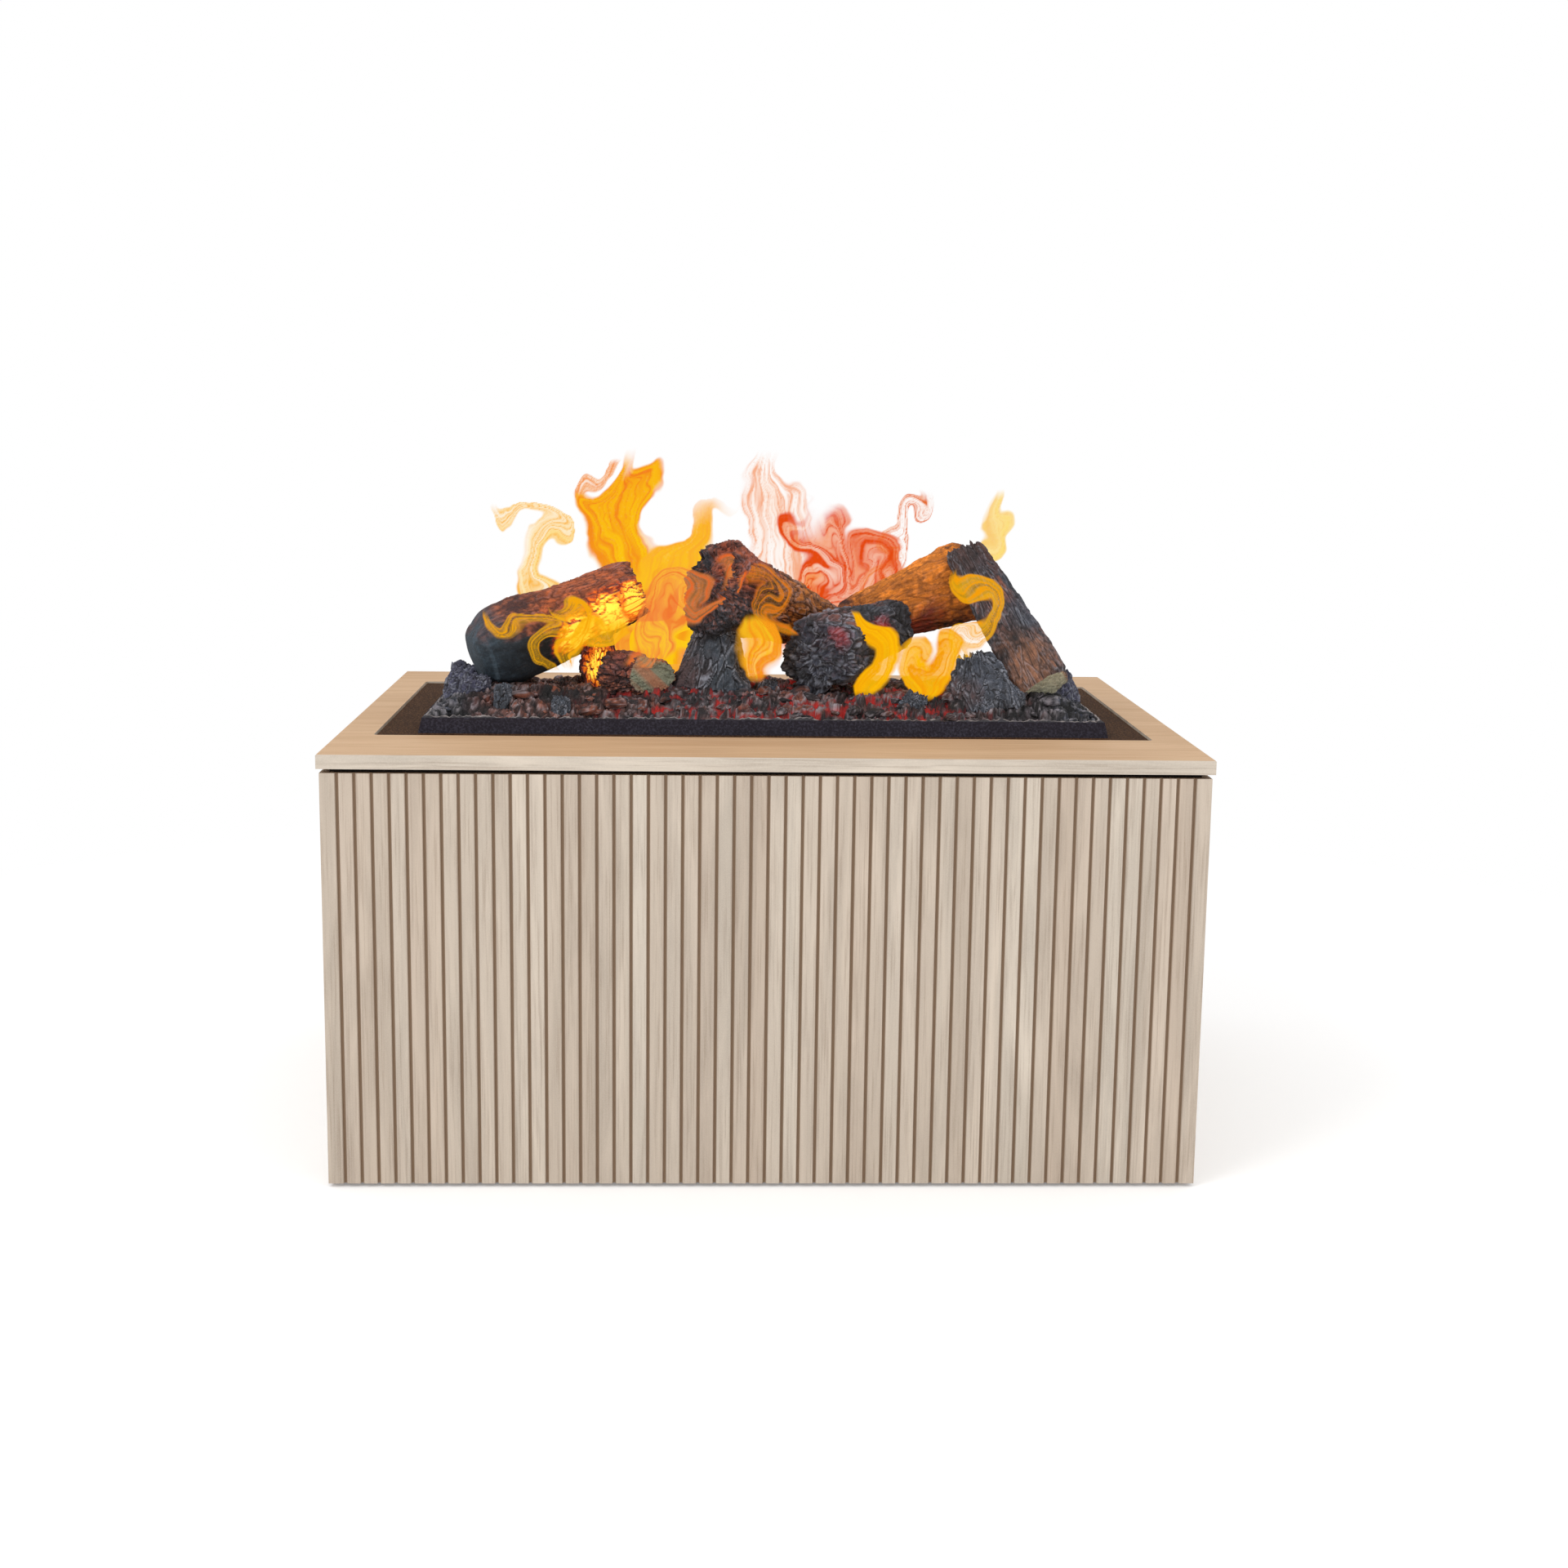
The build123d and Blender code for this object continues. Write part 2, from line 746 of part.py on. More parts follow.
def control_box():
    """The control box, with button wells, a knob shaft and a display recess."""
    half = box_width / 2
    box = block(box_x - half, box_x + half, tub_back, box_face, box_bottom, box_bottom + box_height)
    upright = [e for e in box.edges() if abs(e.center().Y - (tub_back + box_face) / 2) < 0.01]
    box = fillet(upright, box_corner_radius)
    well_bottom = box_face + button_proud - button_length - button_travel - button_floor_gap
    for x, z in button_places():
        box -= rod_along_y(x, z, well_bottom, box_face + 1, button_radius + 2 * running_clearance)
    box += rod_along_y(*knob_place(), box_face - 1, box_face + knob_shaft_length, knob_shaft_radius)
    x0 = box_x + display_shift - display_width / 2
    z1 = box_bottom + box_height - display_margin
    display = (x0, x0 + display_width, box_face - display_depth, box_face + 1, z1 - display_height, z1)
    return box - block(*display)


def push_button(index):
    """A round button with a domed end."""
    x, z = button_places()[index]
    end = box_face + button_proud
    button = rod_along_y(x, z, end - button_length, end, button_radius)
    rim = [edge for edge in button.edges() if edge.center().Y > end - 0.1]
    return fillet(rim, button_edge_radius)


def flame_knob():
    """The turning knob, with a raised pointer bar."""
    x, z = knob_place()
    base = box_face + seat_clearance
    end = base + knob_depth
    knob = rod_along_y(x, z, base, end, knob_radius)
    rim = [edge for edge in knob.edges() if edge.center().Y > end - 0.1]
    knob = fillet(rim, knob_edge_radius)
    for i in range(knob_grooves):
        angle = 2 * math.pi * (i + 0.5) / knob_grooves
        groove_x = x + knob_radius * math.cos(angle)
        groove_z = z + knob_radius * math.sin(angle)
        knob -= rod_along_y(groove_x, groove_z, base - 1, end + 1, knob_groove_radius)
    half = knob_pointer_width / 2
    pointer_top = z + knob_radius - knob_edge_radius - knob_pointer_height / 2
    knob += block(x - half, x + half, end - 1, end + knob_pointer_height, z, pointer_top)
    bore_end = box_face + knob_shaft_length + running_clearance
    return knob - rod_along_y(x, z, base - 1, bore_end, knob_shaft_radius + running_clearance)


def door_pin_spans():
    """The lowest and highest points of the lower and upper door pins."""
    return [
        (door_bottom - door_pin_length, door_bottom + door_pin_length),
        (door_top - door_pin_length, door_top + door_pin_length),
    ]


def door_pivots():
    """Two pivot pins, each with a collar that fills the gap above or below the door."""
    pins = []
    collars = [(door_bottom, door_bottom + door_gap), (door_top - door_gap, door_top)]
    for (z0, z1), (c0, c1) in zip(door_pin_spans(), collars):
        pin = rod(door_pivot_x, door_pivot_y, z0 + door_pin_play, z1 - door_pin_play, door_pin_radius)
        pins.append(pin + rod(door_pivot_x, door_pivot_y, c0, c1, door_collar_radius))
    return group(pins)


def service_door():
    """The door, rounded at its hinge edge about the pivot, with a finger hole."""
    y0, y1 = inner_back, back_face
    z0, z1 = door_bottom + door_gap, door_top - door_gap
    door = block(-door_width / 2 + door_gap, door_pivot_x, y0, y1, z0, z1)
    door += rod(door_pivot_x, door_pivot_y, z0, z1, panel_thickness / 2)
    for p0, p1 in door_pin_spans():
        door -= rod(door_pivot_x, door_pivot_y, p0, p1, door_pin_radius + running_clearance)
    hole_x = -door_width / 2 + finger_hole_inset
    door_middle = (door_bottom + door_top) / 2
    return door - rod_along_y(hole_x, door_middle, y0 - 1, y1 + 1, finger_hole_radius)


def catch_z():
    """The height of the magnet catch's middle."""
    return door_top - catch_drop


def magnet_catch():
    """The catch on the inside of the back panel; its arm reaches behind the door."""
    z0, z1 = catch_z() - catch_height / 2, catch_z() + catch_height / 2
    outer = -door_width / 2 - catch_length / 2
    arm_back = inner_back - strike_thickness
    base_end = -door_width / 2 - catch_edge_gap
    catch = block(outer, base_end, inner_back - catch_depth, inner_back, z0, z1)
    return catch + block(outer, outer + catch_length, inner_back - catch_depth, arm_back, z0, z1)


def strike_plate():
    """The steel plate on the door that the magnet holds."""
    x1 = -door_width / 2 + catch_length / 2
    z0, z1 = catch_z() - catch_height / 2, catch_z() + catch_height / 2
    return block(x1 - strike_width, x1, inner_back - strike_thickness, inner_back, z0, z1)


def fill_lid():
    """The flush filler lid, with a finger notch and its hinge barrel."""
    half = lid_width / 2
    lid = block(-half, half, lid_front, lid_back, plate_bottom, plate_top)
    lid -= rod(0, lid_front, plate_bottom - 1, plate_top + 1, lid_notch_radius)
    barrel_half = lid_barrel_length / 2
    lid += rod_along_x(lid_axis_y, lid_axis_z, -barrel_half, barrel_half, lid_barrel_radius)
    leaf = (lid_back - lid_leaf, lid_axis_y, plate_top, plate_top + lid_barrel_radius)
    lid += block(-barrel_half, barrel_half, *leaf)
    bore = lid_pin_radius + running_clearance
    return lid - rod_along_x(lid_axis_y, lid_axis_z, -barrel_half - 1, barrel_half + 1, bore)


def lid_hinge():
    """The pin and its two end blocks, fixed to the plate behind the lid."""
    block_start = lid_barrel_length / 2 + lid_end_gap
    reach = block_start + lid_block_length
    hinge = rod_along_x(lid_axis_y, lid_axis_z, -reach, reach, lid_pin_radius)
    for side in (-1, 1):
        x0, x1 = sorted((side * block_start, side * reach))
        hinge += rod_along_x(lid_axis_y, lid_axis_z, x0, x1, lid_barrel_radius)
        y1 = lid_axis_y + 2 * lid_barrel_radius
        hinge += block(x0, x1, lid_axis_y, y1, plate_top, lid_axis_z)
    return hinge


def grille_body(growth):
    """The part of the grille that passes through the back panel."""
    x = -body_width / 2 + post_size + panel_thickness + grille_width / 2 + 2 * grille_lip
    z = body_top - grille_drop - grille_height / 2
    half_x = grille_width / 2 + growth
    half_z = grille_height / 2 + growth
    return block(x - half_x, x + half_x, inner_back - 1, back_face + 1, z - half_z, z + half_z)


def vent_grille():
    """A plastic grille: a lipped frame with upright slats."""
    hole = grille_body(0)
    box = hole.bounding_box()
    x0, x1, z0, z1 = box.min.X, box.max.X, box.min.Z, box.max.Z
    lip, wall = grille_lip, grille_wall
    lip_back = back_face + grille_lip_thickness
    grille = block(x0, x1, inner_back, back_face, z0, z1)
    grille += block(x0 - lip, x1 + lip, back_face, lip_back, z0 - lip, z1 + lip)
    step = (x1 - x0 - wall) / grille_slats
    for i in range(grille_slats):
        left = x0 + wall + i * step
        grille -= block(left, left + step - wall, inner_back - 1, lip_back + 1, z0 + wall, z1 - wall)
    return grille


def inlet_body(growth):
    """The inlet's housing behind its plate."""
    half_x = inlet_plate_width / 2 - inlet_plate_lip + growth
    half_z = inlet_plate_height / 2 - inlet_plate_lip + growth
    front = back_face - inlet_body_depth - growth
    return block(inlet_x - half_x, inlet_x + half_x, front, back_face, inlet_z - half_z, inlet_z + half_z)


def socket_z():
    """The height of the socket's middle."""
    return inlet_z - socket_drop


def rocker_z():
    """The height of the rocker's pivot."""
    return inlet_z + rocker_rise


def rocker_y():
    """The rocker's pivot, sunk so that no corner stands past the plate."""
    tilt = math.radians(rocker_swing / 2)
    face = back_face + inlet_plate_thickness
    return face - rocker_depth / 2 * math.cos(tilt) - rocker_height / 2 * math.sin(tilt)


def inlet_plate():
    """The mains inlet: a plate with its housing, a three-pin socket and the rocker's well."""
    half_x, half_z = inlet_plate_width / 2, inlet_plate_height / 2
    face = back_face + inlet_plate_thickness
    plate = block(inlet_x - half_x, inlet_x + half_x, back_face, face, inlet_z - half_z, inlet_z + half_z)
    plate = fillet(plate.edges().filter_by(Axis.Y), inlet_plate_corner)
    plate += inlet_body(0)
    sx, sz = socket_width / 2, socket_height / 2
    well = block(inlet_x - sx, inlet_x + sx, face - socket_depth, face + 1, socket_z() - sz, socket_z() + sz)
    upper = [e for e in well.edges().filter_by(Axis.Y) if e.center().Z > socket_z()]
    plate -= chamfer(upper, socket_corner)
    rx = rocker_width / 2 + rocker_side_gap
    rz = rocker_height / 2 + rocker_end_gap
    floor = face - rocker_depth - rocker_well_gap
    plate -= block(inlet_x - rx, inlet_x + rx, floor, face + 1, rocker_z() - rz, rocker_z() + rz)
    reach = rx + 0.1
    return plate + rod_along_x(rocker_y(), rocker_z(), inlet_x - reach, inlet_x + reach, rocker_pivot_radius)


def inlet_pins():
    """The three flat pins that stand in the socket."""
    bottom = back_face + inlet_plate_thickness - socket_depth
    half_x, half_z = inlet_pin_width / 2, inlet_pin_height / 2
    pins = []
    for side, rise in ((-1, -1), (1, -1), (0, 1)):
        x = inlet_x + side * inlet_pin_spread
        z = socket_z() + rise * inlet_pin_offset
        pins.append(block(x - half_x, x + half_x, bottom, bottom + inlet_pin_length, z - half_z, z + half_z))
    return group(pins)


def power_rocker():
    """The rocker, stored with its lower half pressed in."""
    rx = rocker_width / 2
    body = Box(rocker_width, rocker_depth, rocker_height)
    rims = [e for e in body.edges().filter_by(Axis.X) if e.center().Y < 0]
    body = chamfer(rims, rocker_bevel)
    body -= rod_along_x(0, 0, -rx - 1, rx + 1, rocker_pivot_radius + running_clearance)
    return Pos(inlet_x, rocker_y(), rocker_z()) * Rot(-rocker_swing / 2, 0, 0) * body


def scatter(number):
    """A fixed scatter between 0 and 1 for a number."""
    value = math.sin(number * 12.9898) * 43758.5453
    return value - math.floor(value)


def facet_solid(rings, low_tip, high_tip):
    """A closed solid of triangles between rings of points, with a fan to a tip at each end."""
    sides = len(rings[0])
    corners = []
    for i in range(sides):
        j = (i + 1) % sides
        corners.append((rings[0][j], rings[0][i], low_tip))
        corners.append((rings[-1][i], rings[-1][j], high_tip))
        for low, high in zip(rings, rings[1:]):
            corners.append((low[i], low[j], high[j]))
            corners.append((low[i], high[j], high[i]))
    solid = Solid(Shell([Face(Wire.make_polygon(triangle, close=True)) for triangle in corners]))
    return solid if solid.volume > 0 else Solid(Shell([-face for face in solid.faces()]))


def timber(butt, tip, sizes, seed, sides=10, rings=6, flat=1.0, ripple=0.12, jag=0.0, split=None):
    """A battered log. Its rings stand square to the line from butt to tip, whose
    ends are (x, y, height above the bed's plateau). Each ring's radius is the
    straight blend of the two end sizes, times one plus three sine waves round and
    along the log; flat squeezes it sideways, and jag breaks both ends. A split is
    (angle, share): it holds every ring to a plane that far from the middle line."""
    start = Vector(butt[0], butt[1], butt[2] + plateau)
    end = Vector(tip[0], tip[1], tip[2] + plateau)
    along = (end - start).normalized()
    guide = Vector(0, 0, 1) if abs(along.Z) < 0.8 else Vector(1, 0, 0)
    across = along.cross(guide).normalized()
    up = across.cross(along)
    shape = []
    for k in range(rings):
        t = k / (rings - 1)
        centre = start + (end - start) * t
        size = sizes[0] + (sizes[1] - sizes[0]) * t
        rough = jag if k in (0, rings - 1) else 0
        ring = []
        for i in range(sides):
            angle = 2 * math.pi * i / sides
            wave = math.sin(2 * angle + seed) + 0.7 * math.sin(3 * angle + 2.1 * seed + 2 * t)
            wave += 0.6 * math.sin(5 * angle - 3 * seed + 7 * t)
            radius = size * (1 + ripple * wave / 1.6)
            if split:
                facing = math.cos(angle - math.radians(split[0]))
                radius = min(radius, split[1] * size / max(facing, 0.1))
            point = centre + across * (radius * flat * math.cos(angle)) + up * (radius * math.sin(angle))
            ring.append(point + along * (rough * (scatter(seed + 7 * i + 3 * k) - 0.5)))
        shape.append(ring)
    return facet_solid(shape, start + along * (jag * 0.3), end - along * (jag * 0.3))


def bed_mound():
    """The heaped top of the ember bed, from the tray's rim to its plateau."""
    rim = tray_batter + tray_wall + seat_clearance
    x = tray_width / 2 - rim
    low = (-x, x, tray_front + rim, tray_back - rim, bed_edge)
    top_x = x - plateau_side
    top_y = tray_front + rim + plateau_front
    return frustum(low, (-top_x, top_x, top_y, top_y + plateau_depth, plateau))


def tray_frustum(inset, z0, z1):
    """The space between the tray's leaning walls, moved in by inset."""
    def side(z):
        lean = inset + tray_batter * (z - tray_bottom) / tray_height
        x = tray_width / 2 - lean
        return (-x, x, tray_front + lean, tray_back - lean, z)

    return frustum(side(z0), side(z1))


def log_tray():
    """The black moulded tray with leaning walls and the mist window."""
    tray = tray_frustum(0, tray_bottom, tray_rim)
    tray -= tray_frustum(tray_wall, tray_bottom + tray_wall, tray_rim + 1)
    return tray - block(*mist_window(slot_step), tray_bottom - 1, tray_bottom + 2 * tray_wall)


def ember_bed():
    """The ember bed: it fills the tray and rises to a plateau."""
    bed = tray_frustum(tray_wall + seat_clearance, tray_bottom + tray_wall, bed_edge)
    bed += bed_mound()
    return bed - slot_cutter(tray_bottom, plateau + 1)


def bed_height(x, y):
    """The height of the ember bed over the cover plate's frame at one place."""
    rim = tray_batter + tray_wall + seat_clearance
    half = tray_width / 2 - rim
    y0, y1 = tray_front + rim, tray_back - rim
    back_run = y1 - y0 - plateau_front - plateau_depth
    runs = [(x + half) / plateau_side, (half - x) / plateau_side]
    runs += [(y - y0) / plateau_front, (y1 - y) / back_run]
    return bed_edge + (plateau - bed_edge) * max(0.0, min(1.0, *runs))


def bed_cutter():
    """The bed, the tray and the gap between them: what stands on the bed is cut by it."""
    return ember_bed() + tray_frustum(0, tray_bottom, bed_edge) + log_tray()


def fuel_logs(bed):
    """The logs, each cut where it lies on the bed or on a log under it."""
    left = timber((-338, -98, 45), (-160, -36, 116), (55, 37), 0.4, 12, 7, 1, 0.14, 14, (-35, 0.72)) - bed
    prop = timber((-198, -62, -6), (-206, -58, 66), (29, 20), 2.2, 8, 4, 1, 0.16, 10) - bed - left
    chunk = timber((-186, -120, 25), (-122, -152, 24), (30, 27), 1.3, 10, 4, 1, 0.12, 3) - bed
    stump = timber((-66, -110, -8), (-54, -116, 96), (52, 21), 3.1, 9, 5, 0.8, 0.14, 14) - bed
    charred = timber((62, -146, 48), (160, -14, 74), (50, 38), 0.9, 11, 6, 1, 0.15, 16) - bed
    centre = timber((-60, -128, 132), (96, -4, 68), (53, 20), 5.2, 12, 6, 1, 0.15, 16, (200, 0.8))
    centre = centre - stump - charred
    plank = timber((104, -34, 74), (262, -8, 132), (27, 50), 4.4, 10, 6, 0.45, 0.1, 10) - charred - centre
    right = timber((342, -134, 12), (252, -24, 168), (36, 26), 1.9, 12, 7, 1, 0.12, 18, (150, 0.75))
    right = right - bed - plank
    wedge = timber((270, -158, -16), (252, -150, 48), (52, 24), 2.7, 9, 4, 0.42, 0.14, 16) - bed - right
    return {
        "log_left": left,
        "prop_left": prop,
        "chunk_cut": chunk,
        "stump_centre": stump,
        "log_centre": centre,
        "log_charred": charred,
        "plank_back": plank,
        "log_right": right,
        "stump_right": wedge,
    }


def stub(x, y, size, rise, lean, seed):
    """A short broken piece that stands in the embers."""
    foot = bed_height(x, y) - plateau - size * 0.4
    top = foot + size * 0.4 + rise
    return timber((x, y, foot), (x + lean, y, top), (size, size * 0.8), seed, 7, 3, 0.8, 0.16, size * 0.4)


def clear_of(shape, others):
    """A shape less every other solid."""
    for other in others:
        shape -= other
    return shape


def small_stubs(bed):
    """The small broken pieces along the front and at the two ends of the bed."""
    pieces = [
        stub(-314, -166, 12, 24, 2, 0.3),
        stub(-243, -176, 14, 17, 0, 1.7),
        stub(178, -158, 17, 12, 6, 2.9),
        stub(-372, -64, 26, 34, 8, 4.1),
        stub(-352, -128, 20, 22, 6, 5.3),
        stub(374, -70, 26, 32, -8, 0.8),
        stub(350, -24, 22, 24, -4, 3.6),
        stub(4, -120, 15, 16, 3, 2.2),
    ]
    return [piece - bed for piece in pieces]


def meets(shape, others):
    """True where a shape shares room with another solid."""
    box = shape.bounding_box()
    for other in others:
        far = other.bounding_box()
        apart_x = box.max.X < far.min.X or box.min.X > far.max.X
        apart_y = box.max.Y < far.min.Y or box.min.Y > far.max.Y
        if not (apart_x or apart_y) and shape.distance_to(other) < rubble_gap:
            return True
    return False


def rubble(bed, standing):
    """Ember lumps in jittered rows, left out over the mist slots and against logs, stubs and flames."""
    keep_clear = [*standing, *slot_cutter(tray_bottom, plateau).solids()]
    margin = tray_batter + tray_wall + rubble_size * 1.4
    columns = int((tray_width - 2 * margin) / rubble_pitch)
    rows = int((tray_depth - 2 * margin) / rubble_pitch)
    lumps = []
    for row in range(rows + 1):
        for column in range(columns + 1):
            number = row * (columns + 1) + column
            size = rubble_size * (0.7 + 0.5 * scatter(number))
            shift_x = rubble_jitter * (scatter(number + 0.3) - 0.5)
            shift_y = rubble_jitter * (scatter(number + 0.6) - 0.5)
            x = -tray_width / 2 + margin + column * rubble_pitch + shift_x
            y = tray_front + margin + row * rubble_pitch + shift_y
            foot = bed_height(x, y) - plateau - size * 0.5
            rise = size * (0.7 + 0.6 * scatter(number + 0.9))
            lump = timber((x, y, foot), (x + 2, y, foot + rise), (size, size * 0.7), number, 5, 2, 0.9, 0.2)
            if not meets(lump, keep_clear):
                lumps.append(lump - bed)
    return lumps


def wisp(foot, width, tip, height, bend, head=0.0):
    """The flat outline of one curl of vapour. Foot and tip are places from left to
    right, and height is over the bed's plateau. With t from 0 at the foot to 1 at the
    tip, the middle runs straight from foot to tip plus bend times the sine of a turn
    times t. The half width is half of width times (1 - t) to the power 0.8, with a belly
    of a third of that halfway up, and swells by head at three quarters."""
    steps = 8
    low = bed_edge - flame_sink
    rise = plateau + height - low
    left, right = [], []
    for k in range(steps + 1):
        t = k / steps
        middle = foot + (tip - foot) * t + bend * math.sin(2 * math.pi * t)
        half = width / 2 * (1 - t) ** 0.8 * (1 + math.sin(math.pi * t) / 3)
        half += head * math.exp(-(((t - 0.75) / 0.14) ** 2)) * min(1, 8 * (1 - t))
        left.append((middle - half, low + rise * t))
        right.append((middle + half, low + rise * t))
    return make_face(Spline(*left) + Spline(*reversed(right)) + Line(right[0], left[0]))


def tongue(y, *wisps):
    """Several curls that share one root, as a thin upright sheet whose front is at y."""
    outline = wisp(*wisps[0])
    for sizes in wisps[1:]:
        outline += wisp(*sizes)
    return Pos(0, y + flame_thickness, 0) * extrude(Plane.XZ * outline, flame_thickness)


def flames_back():
    """The tongues behind the logs, at the back edge of the slots."""
    y = slot_y + slot_width / 2 + flame_thickness / 2
    return [
        tongue(y, (-300, 44, -349, 191, -10), (-288, 50, -320, 170, 10), (-280, 46, -258, 164, 6, 2)),
        tongue(y, (-184, 54, -236, 246, -6), (-142, 110, -164, 288, 16, 14), (-112, 60, -68, 196, -10, 7)),
        tongue(y, (-8, 40, -40, 169, -8, 4), (20, 100, 4, 267, -16, 16), (52, 90, 62, 228, 14, 16),
               (82, 56, 136, 168, -6, 8)),
        tongue(y, (190, 36, 166, 168, 8, 3), (200, 50, 215, 223, -12, 6), (214, 36, 236, 172, 8, 3)),
        tongue(y, (290, 28, 283, 165, -8), (296, 44, 304, 236, 12, 7), (306, 34, 327, 208, -8, 3)),
    ]


def flames_front():
    """The tongues that lick up in front of the logs."""
    return [
        tongue(-158, (-250, 64, -318, 93, -8, 4), (-236, 48, -226, 112, 8, 5)),
        tongue(-148, (-12, 38, -18, 84, -5, 3), (0, 30, 16, 58, 5, 2)),
        tongue(-168, (131, 42, 107, 111, -9, 5), (142, 38, 161, 72, 6, 3)),
        tongue(-148, (182, 36, 170, 62, -6, 3)),
        tongue(-126, (212, 46, 250, 152, -10, 6), (228, 38, 276, 137, 8, 4)),
    ]


def main():
    os.makedirs("parts", exist_ok=True)
    save("top_frame", top_frame())
    save("shadow_gap_rails", shadow_gap_rails())
    save("front_panel", front_panel())
    save("left_side_panel", side_panel(-1))
    save("right_side_panel", side_panel(1))
    save("rear_panel", rear_panel())
    save("base_board", base_board())
    save("cassette_rails", cassette_rails())
    save("corner_posts", corner_posts())
    save("glides", glides())
    save("panel_screws", panel_screws())
    save("vent_grille", vent_grille())
    save("inlet_plate", inlet_plate())
    save("inlet_pins", inlet_pins())
    save("door_pivots", door_pivots())
    save("magnet_catch", magnet_catch())
    save("cover_plate", cover_plate())
    save("lid_hinge", lid_hinge())
    save("cassette_tub", cassette_tub())
    save("sump_basin", sump_basin())
    save("mist_hood", mist_hood())
    save("mist_transducers", mist_transducers())
    save("light_bars", light_bars())
    save("fan_housings", group(fan_housing(side) for side in (-1, 1)))
    save("water_tank", water_tank())
    save("filler_neck", filler_neck())
    save("feed_pipe", feed_pipe())
    save("float_guide", float_guide())
    save("tap_body", tap_body())
    save("control_box", control_box())
    save("service_door", service_door())
    save("strike_plate", strike_plate())
    save("fill_lid", fill_lid())
    save("fan_impeller_left", fan_impeller(-1))
    save("fan_impeller_right", fan_impeller(1))
    save("power_rocker", power_rocker())
    for index, name in enumerate(("raise_button", "lower_button", "light_button")):
        save(name, push_button(index))
    save("flame_knob", flame_knob())
    save("level_float", level_float())
    save("tap_lever", tap_lever())
    save("log_tray", log_tray())
    save("ember_bed", ember_bed())
    bed = bed_cutter()
    logs = fuel_logs(bed)
    for name, solid in logs.items():
        save(name, solid)
    stubs = small_stubs(bed)
    save("small_stubs", group(stubs))
    standing = [*logs.values(), *stubs]
    back = [sheet - bed for sheet in flames_back()]
    front = [clear_of(sheet - bed, standing) for sheet in flames_front()]
    save("flames_back", group(back))
    save("flames_front", group(front))
    save("ember_rubble", group(rubble(bed, [*standing, *back, *front])))


main()
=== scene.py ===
"""Dresses the water vapour electric fireplace: oak-look cabinet, charred logs, ember bed and lit mist."""

import math

import bpy
import numpy as np
from mathutils import Matrix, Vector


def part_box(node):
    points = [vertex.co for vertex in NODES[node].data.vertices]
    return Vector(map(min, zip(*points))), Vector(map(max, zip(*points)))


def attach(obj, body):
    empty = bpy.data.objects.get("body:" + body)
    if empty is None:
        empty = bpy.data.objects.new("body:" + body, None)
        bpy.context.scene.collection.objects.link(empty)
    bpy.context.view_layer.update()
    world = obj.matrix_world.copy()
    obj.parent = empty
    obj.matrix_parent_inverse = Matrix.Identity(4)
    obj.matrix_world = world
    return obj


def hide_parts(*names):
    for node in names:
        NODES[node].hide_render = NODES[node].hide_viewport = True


bl_info = {
    "name": "Water vapour electric fireplace",
    "version": (1, 0, 0),
    "blender": (4, 5, 0),
    "location": "3D View > Sidebar > Fireplace",
    "description": "Dresses the fluted cabinet, its log set, its ember bed and the lit mist over them",
    "category": "Object",
}

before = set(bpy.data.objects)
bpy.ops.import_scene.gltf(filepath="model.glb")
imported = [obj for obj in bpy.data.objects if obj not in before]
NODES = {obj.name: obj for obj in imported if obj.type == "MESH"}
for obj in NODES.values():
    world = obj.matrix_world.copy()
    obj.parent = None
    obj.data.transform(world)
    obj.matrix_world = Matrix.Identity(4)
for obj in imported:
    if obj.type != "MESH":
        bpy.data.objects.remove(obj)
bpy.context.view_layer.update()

# Places read from the model's parts, in metres
PANEL_LOW, PANEL_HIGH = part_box("front_panel")
SIDE_LOW, SIDE_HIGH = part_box("left_side_panel")
TRAY_LOW, TRAY_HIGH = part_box("log_tray")
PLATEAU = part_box("ember_bed")[1].z

# Flutes, and the depths between which their grooves turn brown, painted shade down in the grooves
FRONT_FLUTES = 52
FLUTE_PITCH = (PANEL_HIGH.x - PANEL_LOW.x) / FRONT_FLUTES
SIDE_FLUTES = round((SIDE_HIGH.y - SIDE_LOW.y) / FLUTE_PITCH)
SIDE_PITCH = (SIDE_HIGH.y - SIDE_LOW.y) / SIDE_FLUTES
GROOVE_DEPTH = 0.0034
GROOVE_SHADE_FROM = 0.0006
GROOVE_SHADE_TO = 0.7 * GROOVE_DEPTH
PANEL_END = 0.0004

# The bed's form, as in the source of the solids: it lies inside the tray's leaning walls and climbs from
# its edge to the plateau
TRAY_BATTER = 0.004
TRAY_WALL = 0.003
SEAT = 0.0003
BED_INSET = TRAY_BATTER + TRAY_WALL + SEAT
BED_LEFT, BED_RIGHT = TRAY_LOW.x + BED_INSET, TRAY_HIGH.x - BED_INSET
BED_FRONT, BED_BACK = TRAY_LOW.y + BED_INSET, TRAY_HIGH.y - BED_INSET
BED_EDGE = TRAY_HIGH.z - 0.003
PLATEAU_SIDE = 0.056
PLATEAU_FRONT = 0.046
PLATEAU_DEPTH = 0.110

# Mist slots through the bed, and the lamps beside them
SLOT_Y = 0.066
SLOT_HALF = (0.100, 0.016)
SLOT_PLACES = (-0.220, 0.0, 0.220)
LAMP_PITCH = 0.0125

# Upright planes that the mist stands in, how far its tongues stand apart, and the steps of its grids
HALF_SHEET = 0.00125
BACK_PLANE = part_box("flames_back")[0].y + HALF_SHEET
FRONT_PLANE = -0.152
TONGUE_GAP = 0.003
BACK_STEP = 0.00125
FRONT_STEP = 0.0009

# The camera's place in metres, and its yaw, pitch and roll in degrees
CAMERA_PLACE = (-0.0735, -2.755, 0.8897)
CAMERA_TURN = (-2.168, 9.976, 0.755)

